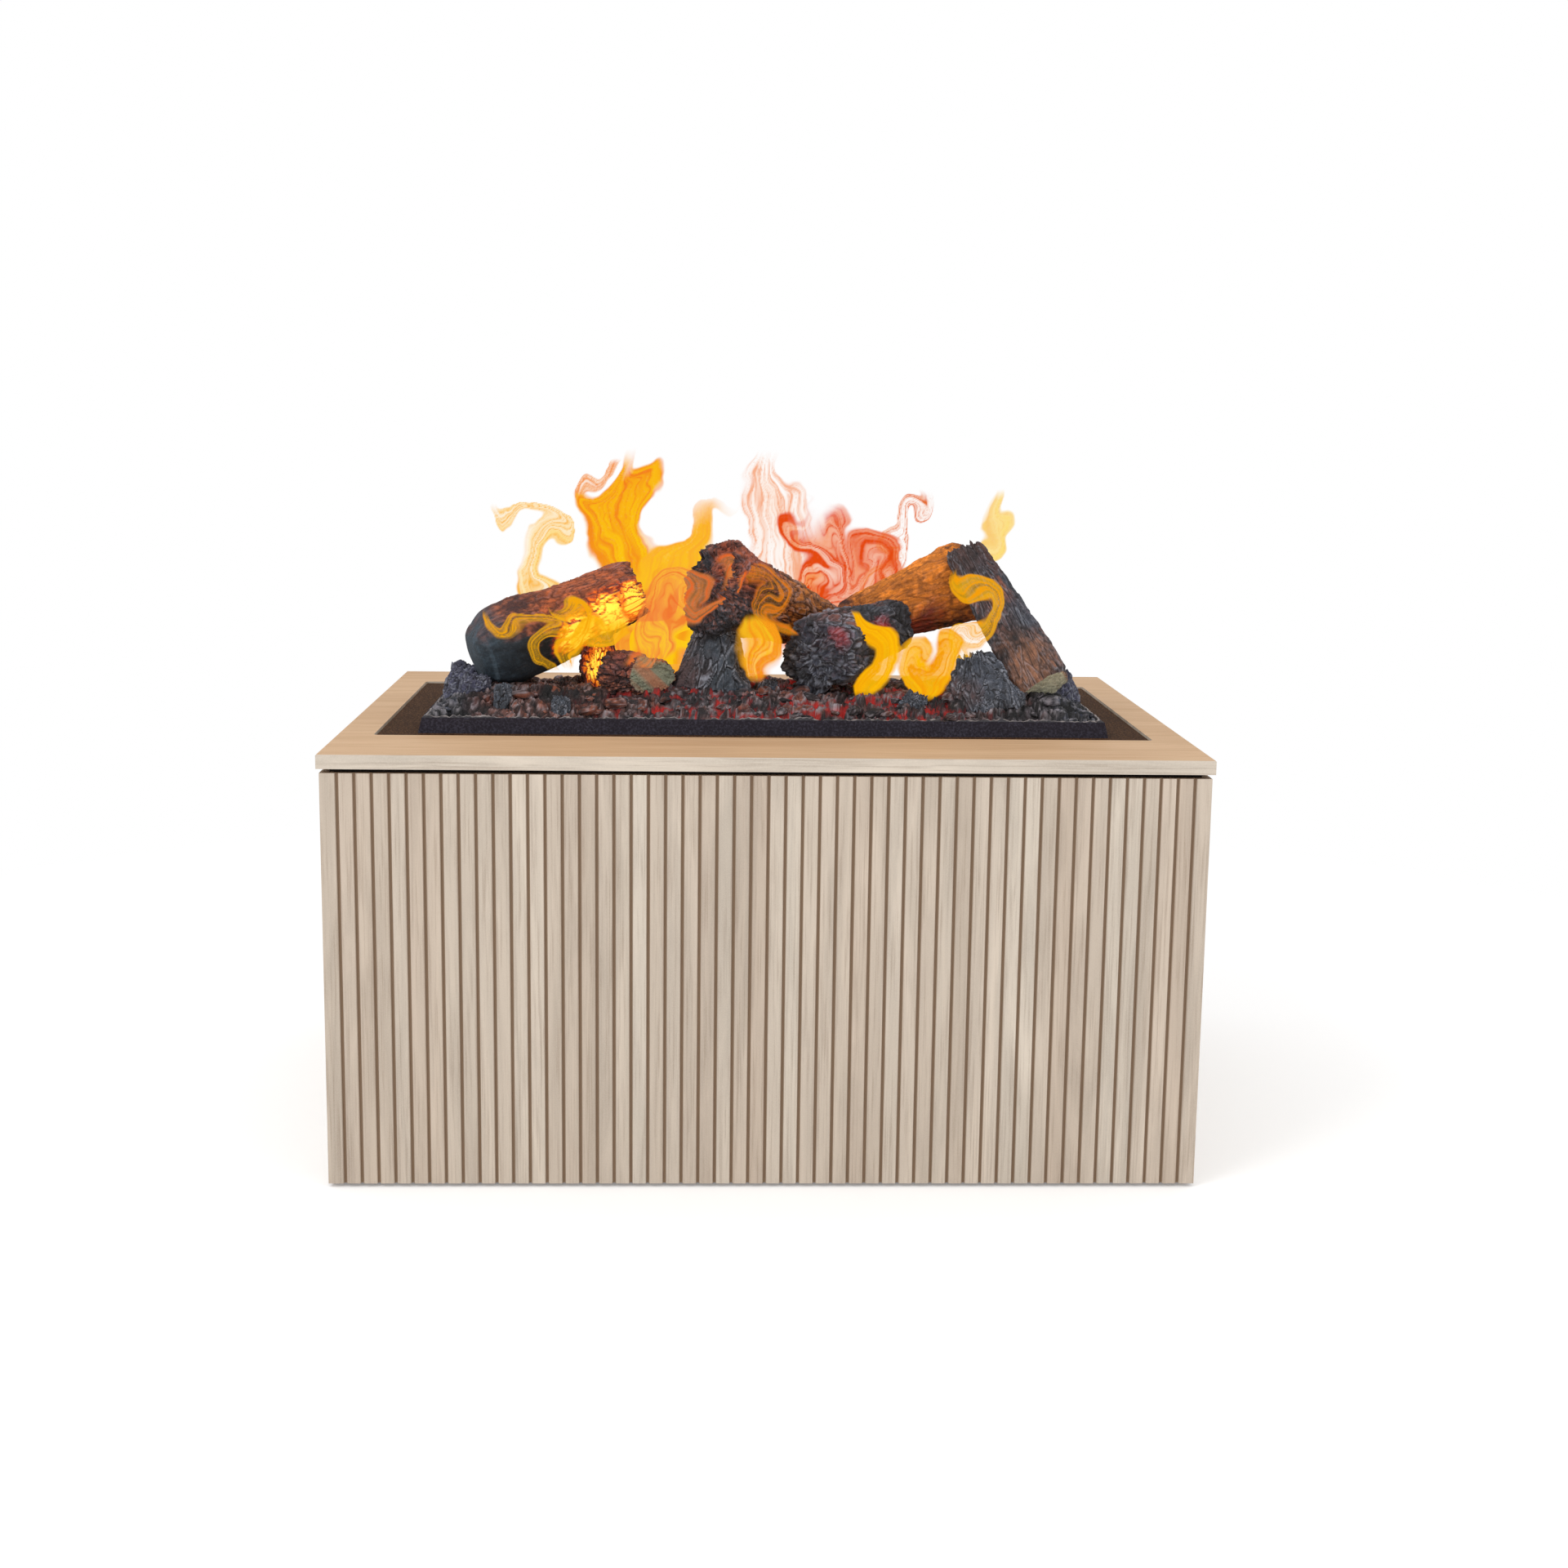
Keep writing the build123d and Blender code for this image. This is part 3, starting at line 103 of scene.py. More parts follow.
# The floor's reach, and the distances from the middle between which it turns plain white
FLOOR_REACH = 30.0
WHITE_FROM = 0.8
WHITE_TO = 1.9
WHITE = (1.0, 1.0, 1.0, 1.0)


def linear(red, green, blue):
    """A colour written as 0 to 255 screen values, as the renderer's linear values."""
    out = []
    for value in (red, green, blue):
        v = value / 255.0
        out.append(v / 12.92 if v <= 0.04045 else ((v + 0.055) / 1.055) ** 2.4)
    return (*out, 1.0)


# Settings a user would change
class OakSettings(bpy.types.PropertyGroup):
    """Colours of the oak-look boards."""

    face: bpy.props.FloatVectorProperty(
        name="Face colour", description="Colour of the flutes and edges", subtype="COLOR", size=4,
        min=0.0, max=1.0, default=linear(205, 193, 178))
    # Colour down in the flutes' grooves: painted shade
    groove_shade: bpy.props.FloatVectorProperty(
        name="Groove colour", description="Colour down in the flutes' grooves", subtype="COLOR", size=4,
        min=0.0, max=1.0, default=linear(150, 126, 104))
    # Top colour: painted light, a warmer tone on the slab's upper face
    top: bpy.props.FloatVectorProperty(
        name="Top colour", description="Warmer colour of the slab's upper face", subtype="COLOR", size=4,
        min=0.0, max=1.0, default=linear(212, 177, 140))


class PlateSettings(bpy.types.PropertyGroup):
    """Colours of the plate that the tray stands on."""

    base: bpy.props.FloatVectorProperty(
        name="Plate colour", description="Main colour of the dark plate", subtype="COLOR", size=4,
        min=0.0, max=1.0, default=linear(46, 28, 18))
    speck: bpy.props.FloatVectorProperty(
        name="Speck colour", description="Colour of the plate's fine specks", subtype="COLOR", size=4,
        min=0.0, max=1.0, default=linear(122, 90, 64))


class FireSettings(bpy.types.PropertyGroup):
    """How strongly the painted glow on the logs and embers shines, and how thick the mist is."""

    # Strength of the painted flame light and glow on the logs
    log_glow: bpy.props.FloatProperty(
        name="Log heat", description="How strongly the hot patches on the logs shine",
        default=1.0, min=0.0, max=2.0)
    # Strength of the embers' painted glow
    ember_glow: bpy.props.FloatProperty(
        name="Ember heat", description="How strongly the cracks between the embers shine",
        default=1.0, min=0.0, max=2.0)
    mist_share: bpy.props.FloatProperty(
        name="Mist thickness", description="How solid the lit mist is at most", subtype="FACTOR",
        default=1.0, min=0.0, max=1.0)


class StageSettings(bpy.types.PropertyGroup):
    """Camera and light."""

    lens: bpy.props.FloatProperty(
        name="Lens", description="Focal length on a 36 mm wide sensor", unit="CAMERA",
        default=49.976, min=10.0)
    key_power: bpy.props.FloatProperty(
        name="Key light", description="Power of the soft light at the upper left", unit="POWER",
        default=46.0, min=0.0)
    fill_power: bpy.props.FloatProperty(
        name="Fill light", description="Power of the soft light at the right", unit="POWER",
        default=14.0, min=0.0)
    sky: bpy.props.FloatProperty(
        name="Sky light", description="Strength of the even light from all round", default=0.86, min=0.0)


# Node helpers
def feed(tree, node, values):
    """Fills a node's inputs, named or numbered. A socket is linked, and any other value is set."""
    for key, value in values.items():
        if isinstance(value, bpy.types.NodeSocket):
            tree.links.new(value, node.inputs[key])
        else:
            node.inputs[key].default_value = value


def put(tree, kind, values=None, **settings):
    """Adds a node with its settings and fills its inputs."""
    node = tree.nodes.new(kind)
    for key, value in settings.items():
        setattr(node, key, value)
    feed(tree, node, values or {})
    return node


def new_material(name):
    """A node material with its shader and output; returns (material, tree, Principled shader)."""
    material = bpy.data.materials.new(name)
    material.use_nodes = True
    tree = material.node_tree
    tree.nodes.clear()
    shader = put(tree, "ShaderNodeBsdfPrincipled")
    put(tree, "ShaderNodeOutputMaterial", {"Surface": shader.outputs["BSDF"]})
    return material, tree, shader


def axes(tree, kind="Object"):
    """The X, Y and Z outputs of the Object coordinates, or of the normal."""
    place = put(tree, "ShaderNodeTexCoord").outputs[kind]
    return put(tree, "ShaderNodeSeparateXYZ", {"Vector": place}).outputs


def drawn(axis, along, across):
    """Noise scales that draw the noise out along one axis."""
    return tuple(along if name == axis else across for name in "XYZ")


def noise(tree, scale, detail=2.0, roughness=0.5, distortion=0.0):
    """Noise on Object coordinates. Its scale is one number, or one for each axis."""
    scales = scale if isinstance(scale, tuple) else (scale, scale, scale)
    place = put(tree, "ShaderNodeTexCoord").outputs["Object"]
    place = put(tree, "ShaderNodeMapping", {"Vector": place, "Scale": scales}).outputs["Vector"]
    return put(tree, "ShaderNodeTexNoise", {
        "Vector": place, "Scale": 1.0, "Detail": detail, "Roughness": roughness,
        "Distortion": distortion}).outputs["Fac"]


def remap(tree, value, low, high, out_low=0.0, out_high=1.0):
    """A straight line from out_low at low to out_high at high, held at both ends."""
    return put(tree, "ShaderNodeMapRange", {
        "Value": value, "From Min": low, "From Max": high,
        "To Min": out_low, "To Max": out_high}).outputs["Result"]


def math_node(tree, operation, first, second=0.0):
    """One step of arithmetic on two sockets or numbers."""
    return put(tree, "ShaderNodeMath", {0: first, 1: second}, operation=operation).outputs[0]


def times(tree, first, second):
    """The product of two sockets or numbers."""
    return math_node(tree, "MULTIPLY", first, second)


def blend(tree, share, first, second, mode="MIX"):
    """Colour first where share is 0 and second where it is 1."""
    values = {0: share, 6: first, 7: second}
    return put(tree, "ShaderNodeMix", values, data_type="RGBA", blend_type=mode).outputs[2]


def shaded(colour, factor):
    """A colour made lighter or darker by a factor."""
    return tuple(min(1.0, v * factor) for v in colour[:3]) + (1.0,)


def relief(tree, shader, height, distance, strength=1.0):
    """Bends the shader's normal as if the surface rose by the height times the distance."""
    values = {"Height": height, "Distance": distance, "Strength": strength}
    feed(tree, shader, {"Normal": put(tree, "ShaderNodeBump", values).outputs["Normal"]})


def dress(material, *names):
    """Gives CAD nodes a material."""
    for name in names:
        mesh = NODES[name].data
        mesh.materials.clear()
        mesh.materials.append(material)


# Boards
def oak(name, foil, along, flutes=None):
    """Oak-look foil. Long thin noise makes the pores and streaks. Flutes are (axis across them, pitch,
    span, depths): each flute then has its own tone, and the colour turns brown between the two depths,
    painted shade down in the grooves. A board without flutes is warmer where it looks up, painted light
    on its top."""
    material, tree, shader = new_material(name)
    pores = noise(tree, drawn(along, 9.0, 420.0), 3.0, 0.6, 0.3)
    streaks = noise(tree, drawn(along, 3.0, 30.0), 4.0, 0.62, 0.8)
    specks = noise(tree, 900.0, 1.0)
    pore_mask = remap(tree, pores, 0.50, 0.68)
    colour = blend(tree, remap(tree, streaks, 0.3, 0.7), shaded(foil.face, 0.80), shaded(foil.face, 1.16))
    colour = blend(tree, times(tree, pore_mask, 0.34), colour, linear(128, 104, 84))
    colour = blend(tree, remap(tree, specks, 0.35, 0.75, 0.0, 0.16), colour, linear(240, 228, 214))
    if flutes:
        axis, pitch, span, depths = flutes
        place = axes(tree)
        number = math_node(tree, "DIVIDE", math_node(tree, "SUBTRACT", place[axis], span[0]), pitch)
        number = math_node(tree, "FLOOR", number)
        shade = put(tree, "ShaderNodeTexWhiteNoise", {"W": number}, noise_dimensions="1D").outputs["Value"]
        slow = {"W": number, "Scale": 0.31, "Detail": 2.0}
        warm = put(tree, "ShaderNodeTexNoise", slow, noise_dimensions="1D").outputs["Fac"]
        colour = blend(tree, remap(tree, shade, 0.0, 1.0, 0.0, 0.20), colour, linear(176, 154, 132))
        warm = remap(tree, warm, 0.35, 0.65, 0.0, 0.30)
        colour = blend(tree, warm, colour, linear(216, 196, 184), "MULTIPLY")
        # Between the two depths the colour turns to that of the grooves: painted shade down in the grooves,
        # faded out at the panel's ends
        depth = remap(tree, place["Y" if axis == "X" else "X"], *depths)
        for end, way in zip(span, (PANEL_END, -PANEL_END)):
            depth = times(tree, depth, remap(tree, place[axis], end, end + way))
        colour = blend(tree, depth, colour, foil.groove_shade)
    else:
        # Faces that look up take the warmer top colour: painted light on the top
        up = remap(tree, axes(tree, "Normal")["Z"], 0.8, 0.95)
        warm = blend(tree, remap(tree, streaks, 0.25, 0.75), linear(190, 152, 114), foil.top)
        warm = blend(tree, times(tree, pore_mask, 0.28), warm, linear(150, 112, 80))
        warm = blend(tree, remap(tree, specks, 0.35, 0.75, 0.0, 0.22), warm, linear(232, 204, 172))
        colour = blend(tree, up, colour, warm)
    feed(tree, shader, {
        "Base Color": colour, "Specular IOR Level": 0.12,
        "Roughness": remap(tree, pores, 0.3, 0.7, 0.52, 0.68)})
    relief(tree, shader, times(tree, pores, -1.0), 0.00025, 0.55)
    return material


class FIRE_OT_boards(bpy.types.Operator):
    """Gives the slab, the fluted panels and the plain boards their oak-look foil."""

    bl_idname = "fireplace.boards"
    bl_label = "Oak boards"

    def execute(self, context):
        foil = context.scene.fire_oak
        front_span, side_span = (PANEL_LOW.x, PANEL_HIGH.x), (SIDE_LOW.y, SIDE_HIGH.y)
        dress(oak("slab oak", foil, "X"), "top_frame")
        for name, node, axis, pitch, span, face, way in (
                ("front flute oak", "front_panel", "X", FLUTE_PITCH, front_span, PANEL_LOW.y, 1),
                ("left flute oak", "left_side_panel", "Y", SIDE_PITCH, side_span, SIDE_LOW.x, 1),
                ("right flute oak", "right_side_panel", "Y", SIDE_PITCH, side_span, -SIDE_LOW.x, -1)):
            depths = (face + way * GROOVE_SHADE_FROM, face + way * GROOVE_SHADE_TO)
            dress(oak(name, foil, "Z", (axis, pitch, span, depths)), node)
        dress(oak("back oak", foil, "Z"), "rear_panel", "service_door")
        return {"FINISHED"}


# Coats, metals and plastics
def speckled(name, base, speck, scale, roughness, height, share=0.5, shine=0.3):
    """A grainy coat: fine noise picks specks out of the base colour and raises them a little, and slow
    noise darkens it in broad clouds."""
    material, tree, shader = new_material(name)
    fine = noise(tree, scale, 2.0, 0.7)
    broad = noise(tree, scale * 0.06, 3.0, 0.6)
    colour = blend(tree, times(tree, remap(tree, fine, 0.45, 0.68), share), base, speck)
    colour = blend(tree, remap(tree, broad, 0.35, 0.7, 0.0, 0.35), colour, shaded(base, 0.7))
    feed(tree, shader, {
        "Base Color": colour, "Specular IOR Level": shine,
        "Roughness": remap(tree, fine, 0.3, 0.7, roughness - 0.08, roughness + 0.08)})
    relief(tree, shader, fine, height)
    return material


def brushed(name, base, along, roughness):
    """Bare metal with fine scratches drawn along one axis, under faint clouds."""
    material, tree, shader = new_material(name)
    scratches = noise(tree, drawn(along, 12.0, 700.0), 3.0, 0.6)
    clouds = noise(tree, 20.0, 3.0)
    colour = blend(tree, remap(tree, scratches, 0.35, 0.65, 0.0, 0.6), base, shaded(base, 0.72))
    colour = blend(tree, remap(tree, clouds, 0.4, 0.7, 0.0, 0.4), colour, shaded(base, 0.72))
    feed(tree, shader, {
        "Base Color": colour, "Metallic": 1.0,
        "Roughness": remap(tree, scratches, 0.3, 0.7, roughness - 0.1, roughness + 0.12)})
    relief(tree, shader, scratches, 0.00008)
    return material


def milky(name, base, clear):
    """Cloudy see-through plastic: light passes in part, with faint flow marks."""
    material, tree, shader = new_material(name)
    flow = noise(tree, (14.0, 14.0, 60.0), 3.0, 0.5, 0.6)
    grain = noise(tree, 600.0)
    feed(tree, shader, {
        "Base Color": blend(tree, remap(tree, flow, 0.35, 0.7), base, shaded(base, 0.86)),
        "Roughness": remap(tree, grain, 0.3, 0.7, 0.22, 0.4),
        "Transmission Weight": remap(tree, flow, 0.3, 0.7, clear + 0.08, clear - 0.08)})
    relief(tree, shader, grain, 0.00005)
    return material


def lamp_cover(name, colour, strength):
    """A warm lamp strip: bright lamps at even steps along it, a sine wave, under a cloudy cover."""
    material, tree, shader = new_material(name)
    wave = math_node(tree, "SINE", times(tree, axes(tree)["X"], 2 * math.pi / LAMP_PITCH))
    cloud = noise(tree, 120.0, 3.0)
    lit = times(tree, remap(tree, wave, -1.0, 1.0, 0.35, 1.0), remap(tree, cloud, 0.3, 0.7, 0.8, 1.0))
    feed(tree, shader, {
        "Base Color": linear(236, 220, 196), "Roughness": remap(tree, cloud, 0.3, 0.7, 0.3, 0.5),
        "Emission Color": colour, "Emission Strength": times(tree, lit, strength)})
    return material


# Base colour, speck colour, grains to a metre, roughness, height of the grain, what else differs, nodes
COATS = {
    "raw board": ((192, 164, 128), (132, 102, 72), 240.0, 0.85, 0.0005, dict(share=0.85),
                  ["corner_posts", "base_board", "cassette_rails"]),
    # The shadow gap's rails are near black: painted shade in the gap under the slab
    "gap shade black": ((30, 25, 23), (54, 46, 42), 500.0, 0.8, 0.0002, dict(shine=0.1), ["shadow_gap_rails"]),
    "tray coat": ((42, 38, 45), (74, 72, 84), 380.0, 0.8, 0.0006, dict(share=0.7, shine=0.08), ["log_tray"]),
    "felt": ((34, 34, 36), (64, 64, 66), 1200.0, 0.95, 0.0003, dict(shine=0.05), ["glides"]),
    "black plastic": ((28, 28, 30), (46, 46, 50), 900.0, 0.55, 0.0001, {},
                      ["vent_grille", "inlet_plate", "magnet_catch", "fan_housings"]),
    "fan plastic": ((40, 40, 42), (58, 58, 62), 700.0, 0.45, 0.00008, {},
                    ["fan_impeller_left", "fan_impeller_right"]),
    "basin plastic": ((52, 52, 56), (72, 72, 78), 600.0, 0.5, 0.0001, {}, ["sump_basin", "mist_hood"]),
    "box plastic": ((66, 66, 70), (88, 88, 92), 1000.0, 0.6, 0.00015, {}, ["control_box"]),
    "key plastic": ((142, 142, 144), (168, 168, 170), 1100.0, 0.5, 0.0001, {},
                    ["raise_button", "lower_button", "light_button", "flame_knob"]),
    "rocker plastic": ((24, 24, 25), (38, 38, 40), 900.0, 0.35, 0.00006, {}, ["power_rocker"]),
    "float plastic": ((228, 92, 32), (244, 128, 60), 500.0, 0.35, 0.0001, {}, ["level_float"]),
}
# Colour, axis of the scratches, roughness, nodes
METALS = {
    "galvanised sheet": ((196, 199, 202), "X", 0.38, ["cassette_tub"]),
    "zinc steel": ((204, 205, 207), "Z", 0.32, ["panel_screws", "strike_plate", "tap_lever"]),
    "stainless steel": ((214, 214, 212), "X", 0.2, ["mist_transducers"]),
    "brass": ((206, 172, 104), "Z", 0.28, ["inlet_pins", "door_pivots", "tap_body"]),
}


class FIRE_OT_fittings(bpy.types.Operator):
    """Gives the raw boards, rails, metal parts and plastic parts inside and behind the cabinet their own
    grained, brushed, cloudy or textured surfaces."""

    bl_idname = "fireplace.fittings"
    bl_label = "Fittings"

    def execute(self, context):
        for name, (base, speck, scale, roughness, height, more, nodes) in COATS.items():
            coat = speckled(name, linear(*base), linear(*speck), scale, roughness, height, **more)
            dress(coat, *nodes)
        for name, (base, along, roughness, nodes) in METALS.items():
            dress(brushed(name, linear(*base), along, roughness), *nodes)
        dress(milky("tank plastic", linear(222, 230, 238), 0.45), "water_tank", "filler_neck", "feed_pipe")
        dress(milky("guide plastic", linear(236, 236, 230), 0.2), "float_guide")
        dress(lamp_cover("lamp cover", linear(255, 176, 84), 0.9), "light_bars")
        return {"FINISHED"}


class FIRE_OT_plate(bpy.types.Operator):
    """Gives the cover plate, its lid and the lid's hinge their dark speckled coat."""

    bl_idname = "fireplace.plate"
    bl_label = "Cover plate"

    def execute(self, context):
        plate = context.scene.fire_plate
        coat = speckled("plate coat", plate.base[:], plate.speck[:], 430.0, 0.8, 0.0003, 0.9, 0.04)
        dress(coat, "cover_plate", "fill_lid", "lid_hinge")
        return {"FINISHED"}


# Noise and masks
def lattice(cell, seed):
    """A fixed scatter from 0 to 1 for whole-number cells: each number times a large one, added up and
    stirred by shifts. The last axis holds x, y, z."""
    x, y, z = cell[..., 0], cell[..., 1], cell[..., 2]
    h = (x * 374761393 + y * 668265263 + z * 1440662683 + seed * 974634777) & 0xFFFFFFFF
    h = ((h ^ (h >> 13)) * 1274126177) & 0xFFFFFFFF
    return ((h ^ (h >> 16)) & 0xFFFFFF) / float(0xFFFFFF)


def smooth_noise(points, seed=0):
    """Values at whole-number corners, blended with a quintic curve each way; from -1 to 1."""
    cell = np.floor(points).astype(np.int64)
    part = points - cell
    part = part * part * part * (part * (part * 6 - 15) + 10)
    total = 0.0
    for corner in np.ndindex(2, 2, 2):
        share = np.ones(points.shape[:-1])
        for axis, side in enumerate(corner):
            share = share * (part[..., axis] if side else 1 - part[..., axis])
        total = total + share * lattice(cell + np.array(corner), seed)
    return total * 2 - 1


def layered(points, octaves=4, gain=0.5, seed=0):
    """Several smooth noises, each twice as fine as the one before and weaker by gain; from -1 to 1."""
    total, weight, size = 0.0, 0.0, 1.0
    for octave in range(octaves):
        total = total + size * smooth_noise(points * 2.0**octave, seed + octave)
        weight += size
        size *= gain
    return total / weight


def plates(points, seed=0):
    """Distance from the crack between the two nearest of one scattered point per cell: 0 in the
    crack, about 1 in a plate's middle. Also gives a number from 0 to 1 for the nearest plate."""
    cell = np.floor(points).astype(np.int64)
    near = np.full(points.shape[:-1], 9.0)
    second = near.copy()
    plate = np.zeros(points.shape[:-1])
    for step in np.ndindex(3, 3, 3):
        other = cell + np.array(step) - 1
        spot = np.stack([lattice(other, seed + 31 * k) for k in range(3)], axis=-1)
        gap = np.linalg.norm(other + spot - points, axis=-1)
        closer = gap < near
        second = np.where(closer, near, np.minimum(second, gap))
        plate = np.where(closer, lattice(other, seed + 97), plate)
        near = np.where(closer, gap, near)
    return second - near, plate


def bent(points, size, seed):
    """Points moved to and fro by three smooth noises, so that no pattern laid on them stays even."""
    shift = [smooth_noise(points * 0.9 + 17.3 * k, seed + k) for k in range(3)]
    return points + size * np.stack(shift, axis=-1)


def stack(x, y, z):
    """One array of points from three coordinates."""
    return np.stack(np.broadcast_arrays(*(np.asarray(value, float) for value in (x, y, z))), axis=-1)


def step_up(value, low, high):
    """0 below low, 1 above high, and an even S between them."""
    t = np.clip((value - low) / (high - low), 0, 1)
    return t * t * (3 - 2 * t)


def bell(value, middle, width):
    """A bell curve, 1 at the middle."""
    return np.exp(-(((value - middle) / width) ** 2))


def paint_of(colour):
    """Linear values of a screen colour, three numbers from 0 to 255. An array stays as it is."""
    return np.array(linear(*colour)[:3]) if isinstance(colour, tuple) else colour


def lay(under, mask, over):
    """The colour under the mask where it is 0, and the colour over it where it is 1."""
    under, over = paint_of(under), paint_of(over)
    return under + mask[..., None] * (over - under)


# Meshes
NO_TRIANGLES = np.zeros((0, 3), int)


def sheet_quads(rows, columns):
    """Quads of an open grid."""
    row, column = np.meshgrid(np.arange(rows - 1), np.arange(columns - 1), indexing="ij")
    start = row * columns + column
    return np.stack([start, start + 1, start + columns + 1, start + columns], axis=-1).reshape(-1, 4)


def ring_quads(rows, columns):
    """Quads between closed rings: two neighbours on a ring and the two beyond them on the next."""
    row, column = np.meshgrid(np.arange(rows - 1), np.arange(columns), indexing="ij")
    here, beside = row * columns + column, row * columns + (column + 1) % columns
    return np.stack([here, beside, beside + columns, here + columns], axis=-1).reshape(-1, 4)


def closed_faces(vertices, rows, columns):
    """Quads of closed rings, and triangles from the first and last ring to two poles, which are the last
    two vertices. All are turned over if they enclose a negative volume."""
    quads = ring_quads(rows, columns)
    ring = np.arange(columns)
    turn = (ring + 1) % columns
    pole = np.full(columns, rows * columns)
    last = (rows - 1) * columns
    triangles = np.concatenate([np.stack([turn, ring, pole], axis=-1),
                                np.stack([last + ring, last + turn, pole + 1], axis=-1)])
    centred = vertices - vertices.mean(axis=0)
    corners = np.concatenate([centred[quads[:, :3]], centred[quads[:, [0, 2, 3]]], centred[triangles]])
    volume = np.einsum("ij,ij->i", corners[:, 0], np.cross(corners[:, 1], corners[:, 2])).sum()
    return (quads, triangles) if volume > 0 else (quads[:, ::-1], triangles[:, ::-1])


def with_poles(rings):
    """Values on rings in one column, and after them the means of the first and the last ring."""
    return np.concatenate([rings.reshape(-1, *rings.shape[2:]), rings[[0, -1]].mean(axis=1)])


def opaque(colour):
    """Colours in one column, each with an alpha of 1."""
    colour = colour.reshape(-1, 3)
    return np.concatenate([colour, np.ones((len(colour), 1))], axis=1)


def add_piece(name, parts, material, slot, replaced=(), smooth=True):
    """One object from several (vertices, quads, triangles, paint, glow) parts, riding on the fuel bed."""
    starts = np.cumsum([0] + [len(part[0]) for part in parts])
    vertices, paint, glow = (np.concatenate([part[k] for part in parts]) for k in (0, 3, 4))
    quads = np.concatenate([part[1] + start for part, start in zip(parts, starts)])
    triangles = np.concatenate([part[2] + start for part, start in zip(parts, starts)])
    loops = np.concatenate([quads.ravel(), triangles.ravel()])
    totals = np.concatenate([np.full(len(quads), 4), np.full(len(triangles), 3)])
    mesh = bpy.data.meshes.new(name)
    mesh.vertices.add(len(vertices))
    mesh.vertices.foreach_set("co", vertices.astype(np.float32).ravel())
    mesh.loops.add(len(loops))
    mesh.loops.foreach_set("vertex_index", loops.astype(np.int32))
    mesh.polygons.add(len(totals))
    mesh.polygons.foreach_set("loop_start", (np.cumsum(totals) - totals).astype(np.int32))
    mesh.polygons.foreach_set("loop_total", totals.astype(np.int32))
    mesh.update(calc_edges=True)
    mesh.polygons.foreach_set("use_smooth", np.full(len(totals), smooth))
    layers = (("paint", "FLOAT_COLOR", "color", paint), ("glow", "FLOAT", "value", glow))
    for layer, kind, field, values in layers:
        data = mesh.attributes.new(layer, kind, "POINT").data
        data.foreach_set(field, values.astype(np.float32).ravel())
    mesh.materials.append(material)
    piece = bpy.data.objects.new(name, mesh)
    bpy.context.scene.collection.objects.link(piece)
    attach(piece, "fuel_bed")
    if replaced:
        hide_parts(*replaced)
